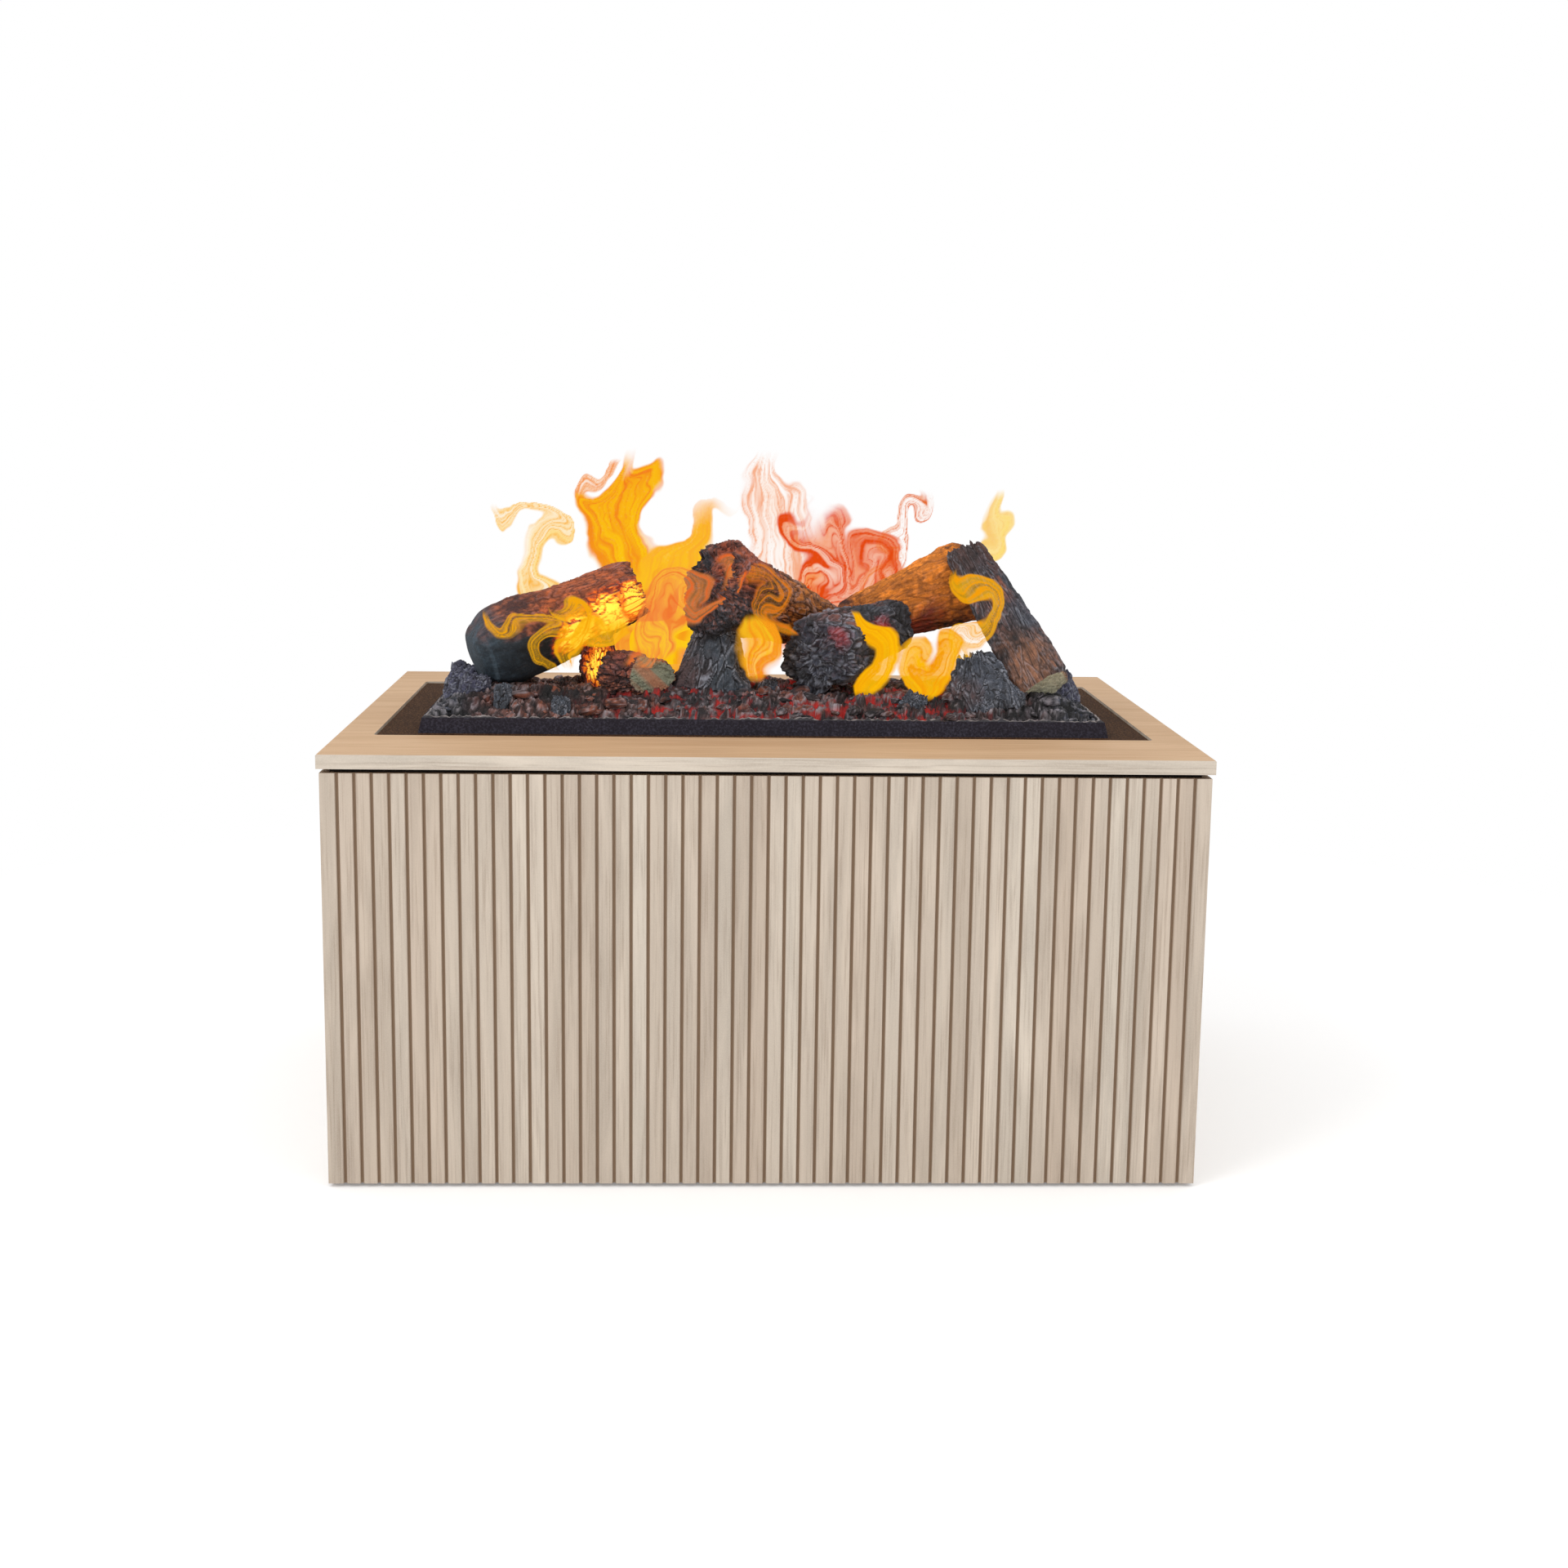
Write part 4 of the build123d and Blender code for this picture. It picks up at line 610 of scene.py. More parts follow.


# Logs
# How a log looks unless it says otherwise: shares of rust and of pale edges, how far the bark's
# plates stand out, plates and fibres to a metre, the fibres' height, colours of the underside, which
# is painted shade, and of the cut (end, colour), and places (x, y, z) with a reach, worn smooth,
# tinted (in some places by painted flame light), lit by painted flame light or glowing dully with a
# painted red glow
LOOK = dict(rust=0.3, brush=0.5, bark=1.0, scales=(50, 120, 120), fibre=50, ridge=0.0009, under=None,
            cut=None, worn=(), tints=(), flame_light=(), glow_spots=())
LOGS = {
    "log_left": dict(
        butt=(-340, -98, 43), tip=(-160, -36, 116), sizes=(58, 37), seed=0.4, ripple=0.14, jag=12,
        split=(-35, 0.9), rust=0.62, under=(30, 40, 49), brush=0.25, bark=0.6, scales=(40, 100, 100),
        worn=[((-350, -120, 25), 88), ((-285, -120, 5), 60)],
        tints=[((-352, -118, 30), 88, (50, 66, 78), 1.0), ((-230, -70, 130), 95, (186, 92, 44), 0.95)],
        flame_light=[((-183, -88, 86), 62, 1.25), ((-222, -108, 62), 48, 1.15), ((-160, -70, 110), 40, 0.9)]),
    "prop_left": dict(
        butt=(-198, -62, -6), tip=(-206, -58, 66), sizes=(29, 20), seed=2.2, ripple=0.16, jag=10,
        rust=0.6, flame_light=[((-200, -95, 30), 45, 1.0)]),
    "chunk_cut": dict(
        butt=(-186, -120, 25), tip=(-122, -152, 24), sizes=(30, 27), seed=1.3, jag=9, mitre=(0.6, 0),
        rust=0.9, brush=0.3, cut=(1, (142, 146, 124)), tints=[((-165, -150, 45), 45, (128, 62, 50), 0.8)]),
    "stump_centre": dict(
        butt=(-66, -110, -8), tip=(-54, -116, 96), sizes=(52, 21), seed=3.1, flat=0.8, ripple=0.14, jag=14,
        rust=0.0, brush=1.0, scales=(26, 80, 80), ridge=0.0014,
        tints=[((-60, -150, 20), 90, (62, 72, 82), 0.8), ((-95, -140, 20), 40, (92, 62, 56), 0.6)]),
    "log_charred": dict(
        butt=(62, -146, 48), tip=(160, -14, 74), sizes=(50, 38), seed=0.9, ripple=0.15, jag=12,
        rust=0.15, brush=0.9, scales=(30, 62, 62), bark=0.9,
        tints=[((55, -180, 50), 75, (66, 68, 82), 0.8), ((95, -120, 105), 45, (112, 66, 58), 0.7)],
        glow_spots=[((86, -178, 76), 26, 0.45), ((56, -192, 82), 16, 0.4), ((70, -190, 30), 14, 0.4),
               ((150, -100, 70), 34, 0.7)]),
    # Its two orange tinted places over the middle are painted flame light
    "log_centre": dict(
        butt=(-67, -130, 132), tip=(96, -4, 68), sizes=(56, 21), seed=5.2, ripple=0.15, jag=12,
        split=(200, 0.85), rust=0.7, glow_spots=[((-50, -175, 150), 20, 0.5)],
        tints=[((-95, -150, 130), 55, (64, 70, 86), 0.9), ((-20, -120, 150), 70, (176, 84, 48), 0.9),
               ((50, -60, 110), 75, (196, 116, 40), 0.9)]),
    # The orange tinted place on its top is painted flame light
    "plank_back": dict(
        butt=(104, -34, 74), tip=(262, -8, 132), sizes=(27, 50), seed=4.4, flat=0.45, ripple=0.1, jag=10,
        rust=0.8, brush=0.1, bark=0.45, scales=(22, 110, 110), ridge=0.0018, fibre=18,
        tints=[((190, -30, 140), 120, (240, 138, 34), 1.15), ((150, -60, 55), 55, (64, 62, 66), 0.7),
               ((205, -40, 66), 45, (122, 20, 18), 0.9)]),
    "log_right": dict(
        butt=(342, -134, 12), tip=(252, -24, 168), sizes=(36, 26), seed=1.9, jag=18, split=(150, 0.75),
        rust=0.25, scales=(26, 150, 150), bark=0.6, ridge=0.0018, fibre=16, cut=(0, (212, 208, 178)),
        tints=[((250, -30, 165), 75, (74, 48, 42), 0.9), ((325, -120, 35), 62, (146, 100, 74), 1.0),
               ((318, -95, 95), 38, (66, 72, 84), 0.8)]),
    "stump_right": dict(
        butt=(270, -158, -16), tip=(252, -150, 48), sizes=(52, 24), seed=2.7, flat=0.42, ripple=0.14, jag=16,
        rust=0.0, brush=1.0, scales=(16, 120, 120), ridge=0.0018, fibre=20,
        tints=[((262, -160, 20), 90, (70, 76, 88), 0.8), ((232, -165, 10), 34, (88, 58, 52), 0.7)]),
}
# Small broken pieces: x, y, size, rise, lean in millimetres, and a seed
STUBS = [
    (-314, -166, 12, 24, 2, 0.3), (-243, -176, 14, 17, 0, 1.7), (178, -158, 17, 12, 6, 2.9),
    (-372, -64, 26, 34, 8, 4.1), (-352, -128, 20, 22, 6, 5.3), (374, -70, 26, 32, -8, 0.8),
    (350, -24, 22, 24, -4, 3.6), (4, -120, 15, 16, 3, 2.2),
]
STUB_BLUE_FROM = 340


def over_bed(place):
    """A place in millimetres over the bed's plateau, in metres over the floor."""
    return np.array([place[0] / 1000, place[1] / 1000, place[2] / 1000 + PLATEAU])


def reaches(points, place, reach):
    """How many reaches the points lie from a place over the bed."""
    return np.linalg.norm(points - over_bed(place), axis=-1) / (reach / 1000)


def log_glow(colour, points, upward, patch, mottle, gap, look):
    """Adds painted flame light round given places, uneven by noise and fading with distance: patches
    from red to yellow, which spare the cracks and the top, and dull red spots of painted glow; both
    shine by themselves. Returns the colour and the glow."""
    glow = 0 * gap
    # Painted flame light on the log, which also shines by itself
    for place, reach, strength in look["flame_light"]:
        spread = 1 - reaches(points, place, reach) + 0.30 * patch + 0.18 * mottle
        glow_level = strength * step_up(spread, 0.0, 0.8)
        glow_level = np.clip(glow_level * (1 - 0.6 * gap) * (1 - 0.8 * step_up(upward, 0.1, 0.8)), 0, 1)
        flame_tint = lay((176, 36, 14), step_up(glow_level, 0.2, 0.5), (244, 118, 16))
        flame_tint = lay(flame_tint, step_up(glow_level, 0.5, 0.85), (255, 210, 64))
        colour = lay(colour, step_up(glow_level, 0.05, 0.5), flame_tint)
        glow = np.maximum(glow, glow_level)
    # Dull red spots of painted glow, which also shine by themselves
    for place, reach, strength in look["glow_spots"]:
        glow_level = strength * step_up(1 - reaches(points, place, reach) + 0.3 * mottle, 0.0, 0.8)
        colour = lay(colour, glow_level, (176, 24, 18))
        glow = np.maximum(glow, 0.55 * glow_level)
    return colour, glow


def log_paint(points, t, share, marks, seed, look):
    """The log's colours: charcoal, rust in patches and on top, a smooth dark underside that is painted
    shade, pale thin lines on the edges of the plates, black in the cracks, pale where it is cut, tinted
    round given places (in some places by painted flame light), and lit by painted flame light and
    painted glow, which shine by themselves. Marks holds the fields that shaped the skin."""
    normal = np.cross(np.gradient(points, axis=1), np.gradient(points, axis=0))
    normal /= np.linalg.norm(normal, axis=-1, keepdims=True) + 1e-12
    away = np.sign(np.sum(normal * (points - points.mean(axis=1, keepdims=True)), axis=-1))
    upward = normal[..., 2] * np.where(away == 0, 1, away)
    patch = layered(points * 26 + seed * 7.1, 4, 0.55, 41)
    mottle = layered(points * 150 + seed, 3, 0.6, 43)
    gap, fibre = marks["gap"], marks["fibre"]
    rough = step_up(mottle + 0.6 * fibre, -0.3, 0.6)
    colour = lay((34, 34, 39), 0.9 * step_up(mottle + 0.3 * patch, -0.3, 0.5), (76, 80, 92))
    rust = step_up(patch + 0.6 * upward + 1.6 * look["rust"] - 0.8, -0.2, 0.4)
    colour = lay(colour, rust, lay((78, 36, 26), rough, (176, 96, 58)))
    # Faces that look down take a dark colour: painted shade on the underside
    if look["under"]:
        shade = step_up(-upward + 0.25 * patch, -0.35, 0.15)
        colour = lay(colour, shade, paint_of(look["under"]) * (1 + 0.4 * mottle[..., None]))
    # Tinting round given places: the log's own colours, and on log_centre and plank_back painted flame light
    for place, reach, tint, strength in look["tints"]:
        spread = 1 - reaches(points, place, reach) + 0.6 * patch + 0.2 * mottle
        mask = np.clip(strength * step_up(spread, 0.0, 0.7), 0, 1)
        colour = lay(colour, mask, paint_of(tint) * (0.70 + 0.6 * rough[..., None]))
    # Pale thin lines on the plates' edges and on raised fibres, fewer where it is worn
    thin = 1.2 * marks["edge"] * step_up(patch + 0.5 * fibre, -0.8, 0.2) * (1 - marks["worn"])
    ridges = step_up(fibre + 0.6 * marks["grit"], 0.25, 0.8)
    colour = lay(colour, 0.8 * np.clip(look["brush"] * (thin + 0.35 * ridges), 0, 1), (160, 164, 176))
    colour = lay(colour, 0.92 * gap, colour * 0.10 + paint_of((14, 11, 13)) * 0.8)
    if look["cut"]:
        end, pale = look["cut"]
        face = ((t < 0.001) if end == 0 else (t > 0.999)) * step_up(0.985 - share, 0.0, 0.015)
        grain = layered(points * (40, 40, 190) + seed, 4, 0.6, 59)
        sawn = lay(paint_of(pale) * 1.12, step_up(grain, -0.3, 0.4), paint_of(pale) * 0.72)
        streak = layered(points @ np.array([[60, 9, 0], [0, 9, 0], [60, 9, 0]]) + seed, 3, 0.5, 47)
        colour = lay(colour, face, lay(sawn, 0.55 * step_up(streak, 0.12, 0.42), (204, 112, 66)))
    return log_glow(colour, points, upward, patch, mottle, gap, look)


def log_relief(local, worn, seed, look):
    """Height of the skin over the even log: layered noise, steps from plate to plate of two sizes, sunk
    cracks between them, fibres and grit, all weaker where it is worn. Also gives the fields it used."""
    scales = np.array(look["scales"])
    crack, plate = plates(bent(local * scales + seed * 1.9, 0.8, 11), 11)
    small_crack, small_plate = plates(bent(local * scales * 2.4 + seed, 0.4, 17), 23)
    lump = layered(local * (22, 34, 34) + seed * 3.3, 3, 0.5, 7)
    fibre = layered(local * (look["fibre"], 420, 420) + seed, 3, 0.6, 13)
    grit = layered(local * 380 + seed * 2, 2, 0.6, 19)
    gap = (1 - step_up(crack, 0.0, 0.16)) * (1 - worn) * min(1.0, 1.3 * look["bark"])
    bark = look["bark"] * (1 - worn)
    skin = 0.0036 * lump + bark * (0.0030 * (plate - 0.5) - 0.0026 * gap)
    skin = skin + bark * (0.0013 * (small_plate - 0.5) - 0.0009 * (1 - step_up(small_crack, 0.0, 0.2)))
    skin = skin + (1 - 0.7 * worn) * (look["ridge"] * fibre + 0.0004 * grit)
    return skin, dict(gap=gap, edge=bell(crack, 0.17, 0.07) * plate, fibre=fibre, grit=grit, worn=worn)


def log_surface(butt, tip, sizes, seed, flat=1.0, ripple=0.12, jag=0.0, split=None, mitre=(0, 0),
                rows=190, columns=220, coarse=1.0, **look):
    """A battered log. Rings stand square to the line from butt to tip; a ring's radius blends the two end
    sizes, times one plus three sine waves, and is held to the split's plane. Each end is closed by rings
    that shrink to a point and is broken along the grain; a mitre (slope, angle) slants the tip's face. The
    skin is then raised by its relief, and rounded at worn ends. Lengths in millimetres over the bed."""
    look = LOOK | look
    start = over_bed(butt)
    length = np.linalg.norm(over_bed(tip) - start)
    along = (over_bed(tip) - start) / length
    across = np.cross(along, (0, 0, 1) if abs(along[2]) < 0.8 else (1, 0, 0))
    across /= np.linalg.norm(across)
    up = np.cross(across, along)
    angle = np.linspace(0, 2 * np.pi, columns, endpoint=False)[None, :]

    def at(ell, reach):
        """The points that far along the log and that far out from its line."""
        sideways = across * (reach * flat * np.cos(angle))[..., None]
        return start + along * ell[..., None] + sideways + up * (reach * np.sin(angle))[..., None]

    cap = max(8, rows // 8)
    middle = rows - 2 * cap
    t = np.concatenate([np.zeros(cap), np.linspace(0, 1, middle), np.ones(cap)])[:, None]
    share = [np.linspace(0.05, 1, cap), np.ones(middle), np.linspace(1, 0.05, cap)]
    share = np.concatenate(share)[:, None] + 0 * angle
    size = (sizes[0] + (sizes[1] - sizes[0]) * t) / 1000
    wave = np.sin(2 * angle + seed) + 0.7 * np.sin(3 * angle + 2.1 * seed + 2 * t)
    wave = wave + 0.6 * np.sin(5 * angle - 3 * seed + 7 * t)
    radius = size * (1 + ripple * wave / 1.6)
    sawn = 0 * radius
    if split:
        facing = np.cos(angle - math.radians(split[0]))
        plane = split[1] * size / np.maximum(facing, 0.1)
        sawn = step_up(radius - plane, -0.0015, 0.0) * (facing > 0.2)
        radius = np.minimum(radius, plane)
    spread = radius * share
    slant = mitre[0] * (spread * np.cos(angle - math.radians(mitre[1])) + sizes[1] / 1000)
    ell = t * (length - slant) + 0 * angle
    local = stack(ell, spread * np.cos(angle), spread * np.sin(angle)) / coarse
    even = at(ell, spread)
    worn = 0 * radius
    for place, reach in look["worn"]:
        worn = np.maximum(worn, step_up(1.3 - reaches(even, place, reach), 0.0, 0.5))
    near_end = np.minimum(ell, np.abs(length - slant - ell))
    broken = layered(local[..., [1, 2, 2]] * (110, 110, 0) + (0, 0, seed * 5), 4, 0.6, 3)
    torn = 1 - worn
    if look["cut"]:
        torn = torn * np.where((t > 0.5) == (look["cut"][0] == 1), 0.08, 1.0)
    shift = np.where(t < 0.5, -1.0, 1.0) * jag / 1000 * broken * np.exp(-near_end / 0.016) * torn
    dome = np.where(t < 0.5, -0.016, 0.010) * worn * np.sqrt(np.clip(1 - share**2, 0, 1))
    skin, marks = log_relief(local, worn, seed, look)
    skin = skin * (1 - 0.5 * sawn) * step_up(share, 0.0, 1.0) * coarse
    fall = (0.07 + 0.20 * worn) * step_up(share, 0.3, 1.0) * np.exp(-near_end / (0.004 + 0.012 * worn))
    points = at(ell + shift + dome, spread * (1 - fall) + skin)
    colour, glow = log_paint(points, t + 0 * angle, share, marks, seed, look)
    vertices = with_poles(points)
    faces = closed_faces(vertices, rows, columns)
    return vertices, *faces, opaque(with_poles(colour)), with_poles(glow)


def fired_skin(name, height, scale, roughness, glow_level):
    """A painted, fired clay skin: the painted colour, broken up by fine noise, which also raises it, and
    shining by itself where the glow attribute says so, a painted glow."""
    material, tree, shader = new_material(name)
    paint = put(tree, "ShaderNodeAttribute", attribute_name="paint").outputs["Color"]
    glow = put(tree, "ShaderNodeAttribute", attribute_name="glow").outputs["Fac"]
    fine = noise(tree, scale, 4.0, 0.7)
    grit = noise(tree, scale * 3.5, 2.0, 0.6)
    colour = blend(tree, remap(tree, fine, 0.35, 0.7, 0.0, 0.45), paint, linear(150, 146, 148), "MULTIPLY")
    colour = blend(tree, remap(tree, grit, 0.6, 0.75, 0.0, 0.22), colour, linear(170, 168, 172))
    feed(tree, shader, {
        "Base Color": colour, "Emission Color": paint, "Emission Strength": times(tree, glow, glow_level),
        "Roughness": remap(tree, fine, 0.3, 0.7, roughness - 0.1, roughness + 0.1)})
    relief(tree, shader, math_node(tree, "ADD", fine, times(tree, grit, 0.4)), height, 0.9)
    return material


def stub_surface(x, y, size, rise, lean, seed):
    """A short broken piece that stands in the embers, bluer at the ends of the bed."""
    foot = float(bed_height(np.array(x / 1000), np.array(y / 1000)) - PLATEAU) * 1000 - size * 0.4
    grey = (78, 78, 104) if abs(x) > STUB_BLUE_FROM else (70, 78, 90)
    return log_surface(
        (x, y, foot), (x + lean, y, foot + 0.4 * size + rise), (size, size * 0.8), seed, flat=0.8,
        ripple=0.16, jag=size * 0.4, rows=60, columns=72, coarse=0.6, rust=0.0, brush=1.0, fibre=24,
        ridge=0.0016, tints=[((x, y, foot + size), 60, grey, 0.8)])


class FIRE_OT_logs(bpy.types.Operator):
    """Builds the nine battered logs and the small broken pieces."""

    bl_idname = "fireplace.logs"
    bl_label = "Logs"

    def execute(self, context):
        skin = fired_skin("log skin", 0.0006, 420.0, 0.78, context.scene.fire_glow.log_glow)
        for name, form in LOGS.items():
            slot = "log_cut" if name == "chunk_cut" else "log_char"
            add_piece(name + "_skin", [log_surface(**form)], skin, slot, [name])
        stubs = [stub_surface(*stub) for stub in STUBS]
        add_piece("stub_skins", stubs, skin, "log_char", ["small_stubs"])
        return {"FINISHED"}


# Ember bed
def bed_height(x, y):
    """The even bed: it rises from the tray's rim to the plateau, at each place by the steepness of
    the nearest of its four slopes."""
    back_run = BED_BACK - BED_FRONT - PLATEAU_FRONT - PLATEAU_DEPTH
    runs = np.minimum(np.minimum((x + BED_RIGHT) / PLATEAU_SIDE, (BED_RIGHT - x) / PLATEAU_SIDE),
                      np.minimum((y - BED_FRONT) / PLATEAU_FRONT, (BED_BACK - y) / back_run))
    return BED_EDGE + (PLATEAU - BED_EDGE) * np.clip(runs, 0, 1)


def slot_gap(x, y):
    """How far a place lies outside the nearest mist slot; below 0 inside it."""
    beyond = np.abs(y - SLOT_Y) - SLOT_HALF[1]
    return np.minimum.reduce([np.maximum(np.abs(x - place) - SLOT_HALF[0], beyond) for place in SLOT_PLACES])


def ember_paint(points, gap, edge, raised, seed):
    """Ember colours: dark crust that is rust brown in patches and blue-grey at both ends of the bed, thin
    pale lines on broken edges, black cracks, and a red painted glow, which shines by itself, in the
    hollows along the middle."""
    patch = layered(points * 20 + seed, 4, 0.55, 61)
    mottle = layered(points * 190 + seed, 3, 0.6, 67)
    left = step_up(-points[..., 0], 0.04, 0.24)
    ends = step_up(np.abs(points[..., 0]) + 0.03 * patch, 0.315, 0.365)
    rust = step_up(patch + 0.45 * left + 0.3 * raised, 0.05, 0.45)
    colour = lay((27, 22, 25), step_up(mottle + 0.4 * patch, -0.2, 0.5), (74, 62, 66))
    colour = lay(colour, rust, lay((64, 32, 27), step_up(mottle, -0.3, 0.5), (146, 82, 58)))
    colour = lay(colour, ends, lay((20, 23, 30), step_up(mottle, -0.1, 0.7), (70, 78, 98)))
    colour = lay(colour, 0.8 * edge * step_up(mottle + patch, -0.5, 0.2), (170, 164, 170))
    colour = lay(colour, gap, (9, 7, 8))
    # A red painted glow in the hollows along the middle, which also shines by itself
    middle = step_up(0.30 - np.abs(points[..., 0] - 0.03), 0.0, 0.15)
    aglow = step_up(layered(points * 85 + seed, 3, 0.55, 71) + 0.3 * middle, 0.15, 0.5) * middle
    glow = aglow * np.clip(0.12 + 1.1 * gap - 0.5 * raised + 0.2 * mottle, 0, 1)
    return lay(colour, np.clip(1.3 * glow, 0, 1), (142, 20, 14)), 0.7 * glow


def bed_surface(columns=560, rows=176):
    """The ember crust as a height over the tray: the even bed plus broken flakes of two sizes that lie at
    heights of their own, less the cracks between them. It dips at the tray's wall, and has upright walls
    where the mist slots pass through, which are painted near black as painted shade."""
    xs = np.linspace(BED_LEFT, BED_RIGHT, columns)
    ys = np.linspace(BED_FRONT, BED_BACK, rows)
    x, y = np.meshgrid(xs, ys)
    flat = stack(x, y, 0 * x)
    broad = layered(flat * 26, 3, 0.5, 73)
    crack, plate = plates(bent(flat * 62, 0.5, 79), 79)
    small_crack, small_plate = plates(bent(flat * 160, 0.4, 83), 83)
    grit = layered(flat * 320, 3, 0.6, 89)
    gap = 1 - step_up(crack, 0.0, 0.22)
    small_gap = 1 - step_up(small_crack, 0.0, 0.25)
    margin = np.minimum.reduce([x - xs[0], xs[-1] - x, y - ys[0], ys[-1] - y])
    outside = slot_gap(x, y)
    calm = step_up(margin, 0.0, 0.010) * (0.3 + 0.7 * step_up(outside, 0.0, 0.02))
    lift = 0.005 * broad + 0.010 * plate + 0.0045 * small_plate + 0.0014 * grit
    lift = lift - 0.003 * gap - 0.0015 * small_gap
    z = bed_height(x, y) + calm * (lift - 0.003)
    z = np.where(margin <= 1e-9, BED_EDGE - 0.006, z)
    z = np.where(outside < 0, TRAY_LOW.z + 0.001, z)
    edge = bell(crack, 0.2, 0.08) * plate + 0.4 * bell(small_crack, 0.25, 0.1) * small_plate
    hollow = np.clip(0.8 * gap + 0.3 * small_gap, 0, 1)
    points = stack(x, y, z)
    colour, glow = ember_paint(points, hollow, edge, 0.7 * plate + 0.3 * small_plate, 2.0)
    # The slots' walls and the bed within a millimetre of them are near black: painted shade in the slots
    colour = np.where((outside < 0.001)[..., None], paint_of((24, 16, 16)), colour)
    quads = sheet_quads(rows, columns)
    quads = quads[~(outside < 0).ravel()[quads].all(axis=1)]
    return points.reshape(-1, 3), quads, NO_TRIANGLES, opaque(colour), glow.ravel()


def lump_surface(centre, size, turn, seed, rings=13, columns=18, facets=11):
    """A broken lump: a sphere held inside scattered planes, which leaves flat facets, then roughened,
    stretched by its three sizes and turned."""
    lat = np.linspace(0.12, np.pi - 0.12, rings)[:, None]
    lon = np.linspace(0, 2 * np.pi, columns, endpoint=False)[None, :]
    unit = stack(np.sin(lat) * np.cos(lon), np.sin(lat) * np.sin(lon), np.cos(lat) + 0 * lon)
    number = stack(np.arange(facets), int(seed * 100), 0).astype(np.int64)
    aim = np.stack([lattice(number, k) * 2 - 1 for k in range(3)], axis=-1)
    aim /= np.linalg.norm(aim, axis=-1, keepdims=True)
    facing = unit @ aim.T
    flats = (0.55 + 0.35 * lattice(number, 3)) / np.maximum(facing, 0.05)
    radius = np.minimum(1.0, flats.min(axis=-1)) + 0.05 * layered(unit * 4 + seed, 2, 0.6, 5)
    c, s = math.cos(turn), math.sin(turn)
    points = unit * radius[..., None] * np.array(size)
    vertices = with_poles(points @ np.array([[c, s, 0], [-s, c, 0], [0, 0, 1]]) + np.array(centre))
    ordered = np.sort(facing, axis=-1)
    ridge = 1 - step_up(ordered[..., -1] - ordered[..., -2], 0.0, 0.15)
    ridge = np.concatenate([ridge.ravel(), [0.0, 0.0]])
    colour, glow = ember_paint(vertices, 0 * ridge, 0.7 * ridge, 0.4 + 0 * ridge, seed)
    return vertices, *closed_faces(vertices, rings, columns), opaque(colour), 0.5 * glow


def lump_places(columns=34, rows=13):
    """Fixed, jittered places for the loose lumps, thicker along the front and clear of the slots."""
    length, front, depth = 0.79, -0.188, 0.318
    cell = stack(*np.meshgrid(np.arange(columns), np.arange(rows)), 0).astype(np.int64)
    x = (cell[..., 0] + lattice(cell, 5)) / columns * length - length / 2
    y = front + (cell[..., 1] + lattice(cell, 6)) / rows * depth
    size = 0.004 + 0.008 * lattice(cell, 7) ** 2
    keep = (slot_gap(x, y) > 0.012) & (lattice(cell, 8) < np.where(y < -0.10, 0.8, 0.45))
    return x[keep], y[keep], size[keep]


def rim_surface(columns=1400, rows=14):
    """The tray's torn rim: a low wall carried round the tray, a half sine wave across, whose crest rises
    and falls by noise and is painted pale, a painted highlight along its top."""
    lean, proud, width = TRAY_BATTER + 0.0006, 0.0011, 0.0085
    x1, y0, y1 = TRAY_HIGH.x - lean + proud, TRAY_LOW.y + lean - proud, TRAY_HIGH.y - lean + proud
    corners = np.array([(-x1, y0), (x1, y0), (x1, y1), (-x1, y1), (-x1, y0)])
    lengths = np.concatenate([[0], np.cumsum(np.linalg.norm(np.diff(corners, axis=0), axis=1))])
    run = np.linspace(0, lengths[-1], columns, endpoint=False)
    x, y = (np.interp(run, lengths, corners[:, k])[None, :] for k in (0, 1))
    inward = -stack(x / x1, (y - (y0 + y1) / 2) / (y1 - y0) * 2, 0)
    biggest = np.abs(inward).max(axis=-1, keepdims=True)
    inward = np.where(np.abs(inward) >= biggest - 0.02, np.sign(inward), 0)
    flat = stack(x, y, 0 * x)
    crest = 0.0030 + 0.0030 * layered(flat * 60, 3, 0.6, 101) + 0.0016 * layered(flat * 260, 2, 0.6, 103)
    around = np.linspace(0, 1, rows)[:, None]
    up = np.sin(np.pi * around)
    points = stack(x + 0 * around, y + 0 * around, TRAY_HIGH.z - 0.0035 + up * (0.0020 + crest))
    wobble = 0.0008 * layered(points * 220, 3, 0.6, 107)
    points = points + inward * (width * around + wobble)[..., None]
    colour = lay((34, 30, 37), 0.6 * step_up(layered(points * 240, 3, 0.6, 109), 0.0, 0.6), (54, 52, 62))
    # The crest is painted pale: a painted highlight along the rim's top
    pale = 0.85 * step_up(up + 0.25 * layered(points * 180, 2, 0.5, 113), 0.84, 1.0)
    colour = opaque(lay(colour, pale, (160, 150, 148)))
    return points.reshape(-1, 3), ring_quads(rows, columns), NO_TRIANGLES, colour, np.zeros(rows * columns)


class FIRE_OT_embers(bpy.types.Operator):
    """Builds the ember crust, the loose lumps on it and the tray's torn rim."""

    bl_idname = "fireplace.embers"
    bl_label = "Ember bed"

    def execute(self, context):
        crust = fired_skin("ember crust", 0.0007, 360.0, 0.85, context.scene.fire_glow.ember_glow)
        add_piece("ember_crust_skin", [bed_surface()], crust, "ember_crust", ["ember_bed"])
        lumps = []
        for number, (x, y, size) in enumerate(zip(*lump_places())):
            centre = (x, y, float(bed_height(np.array(x), np.array(y))) + size * 0.3)
            lumps.append(lump_surface(centre, (size * 1.8, size, size * 0.75), number * 2.4, number * 1.37))
        add_piece("ember_lumps", lumps, crust, "ember_crust", ["ember_rubble"], smooth=False)
        rim = fired_skin("tray crust", 0.0004, 420.0, 0.6, 0.0)
        add_piece("tray_rim_crust", [rim_surface()], rim, "tray_black")
        return {"FINISHED"}


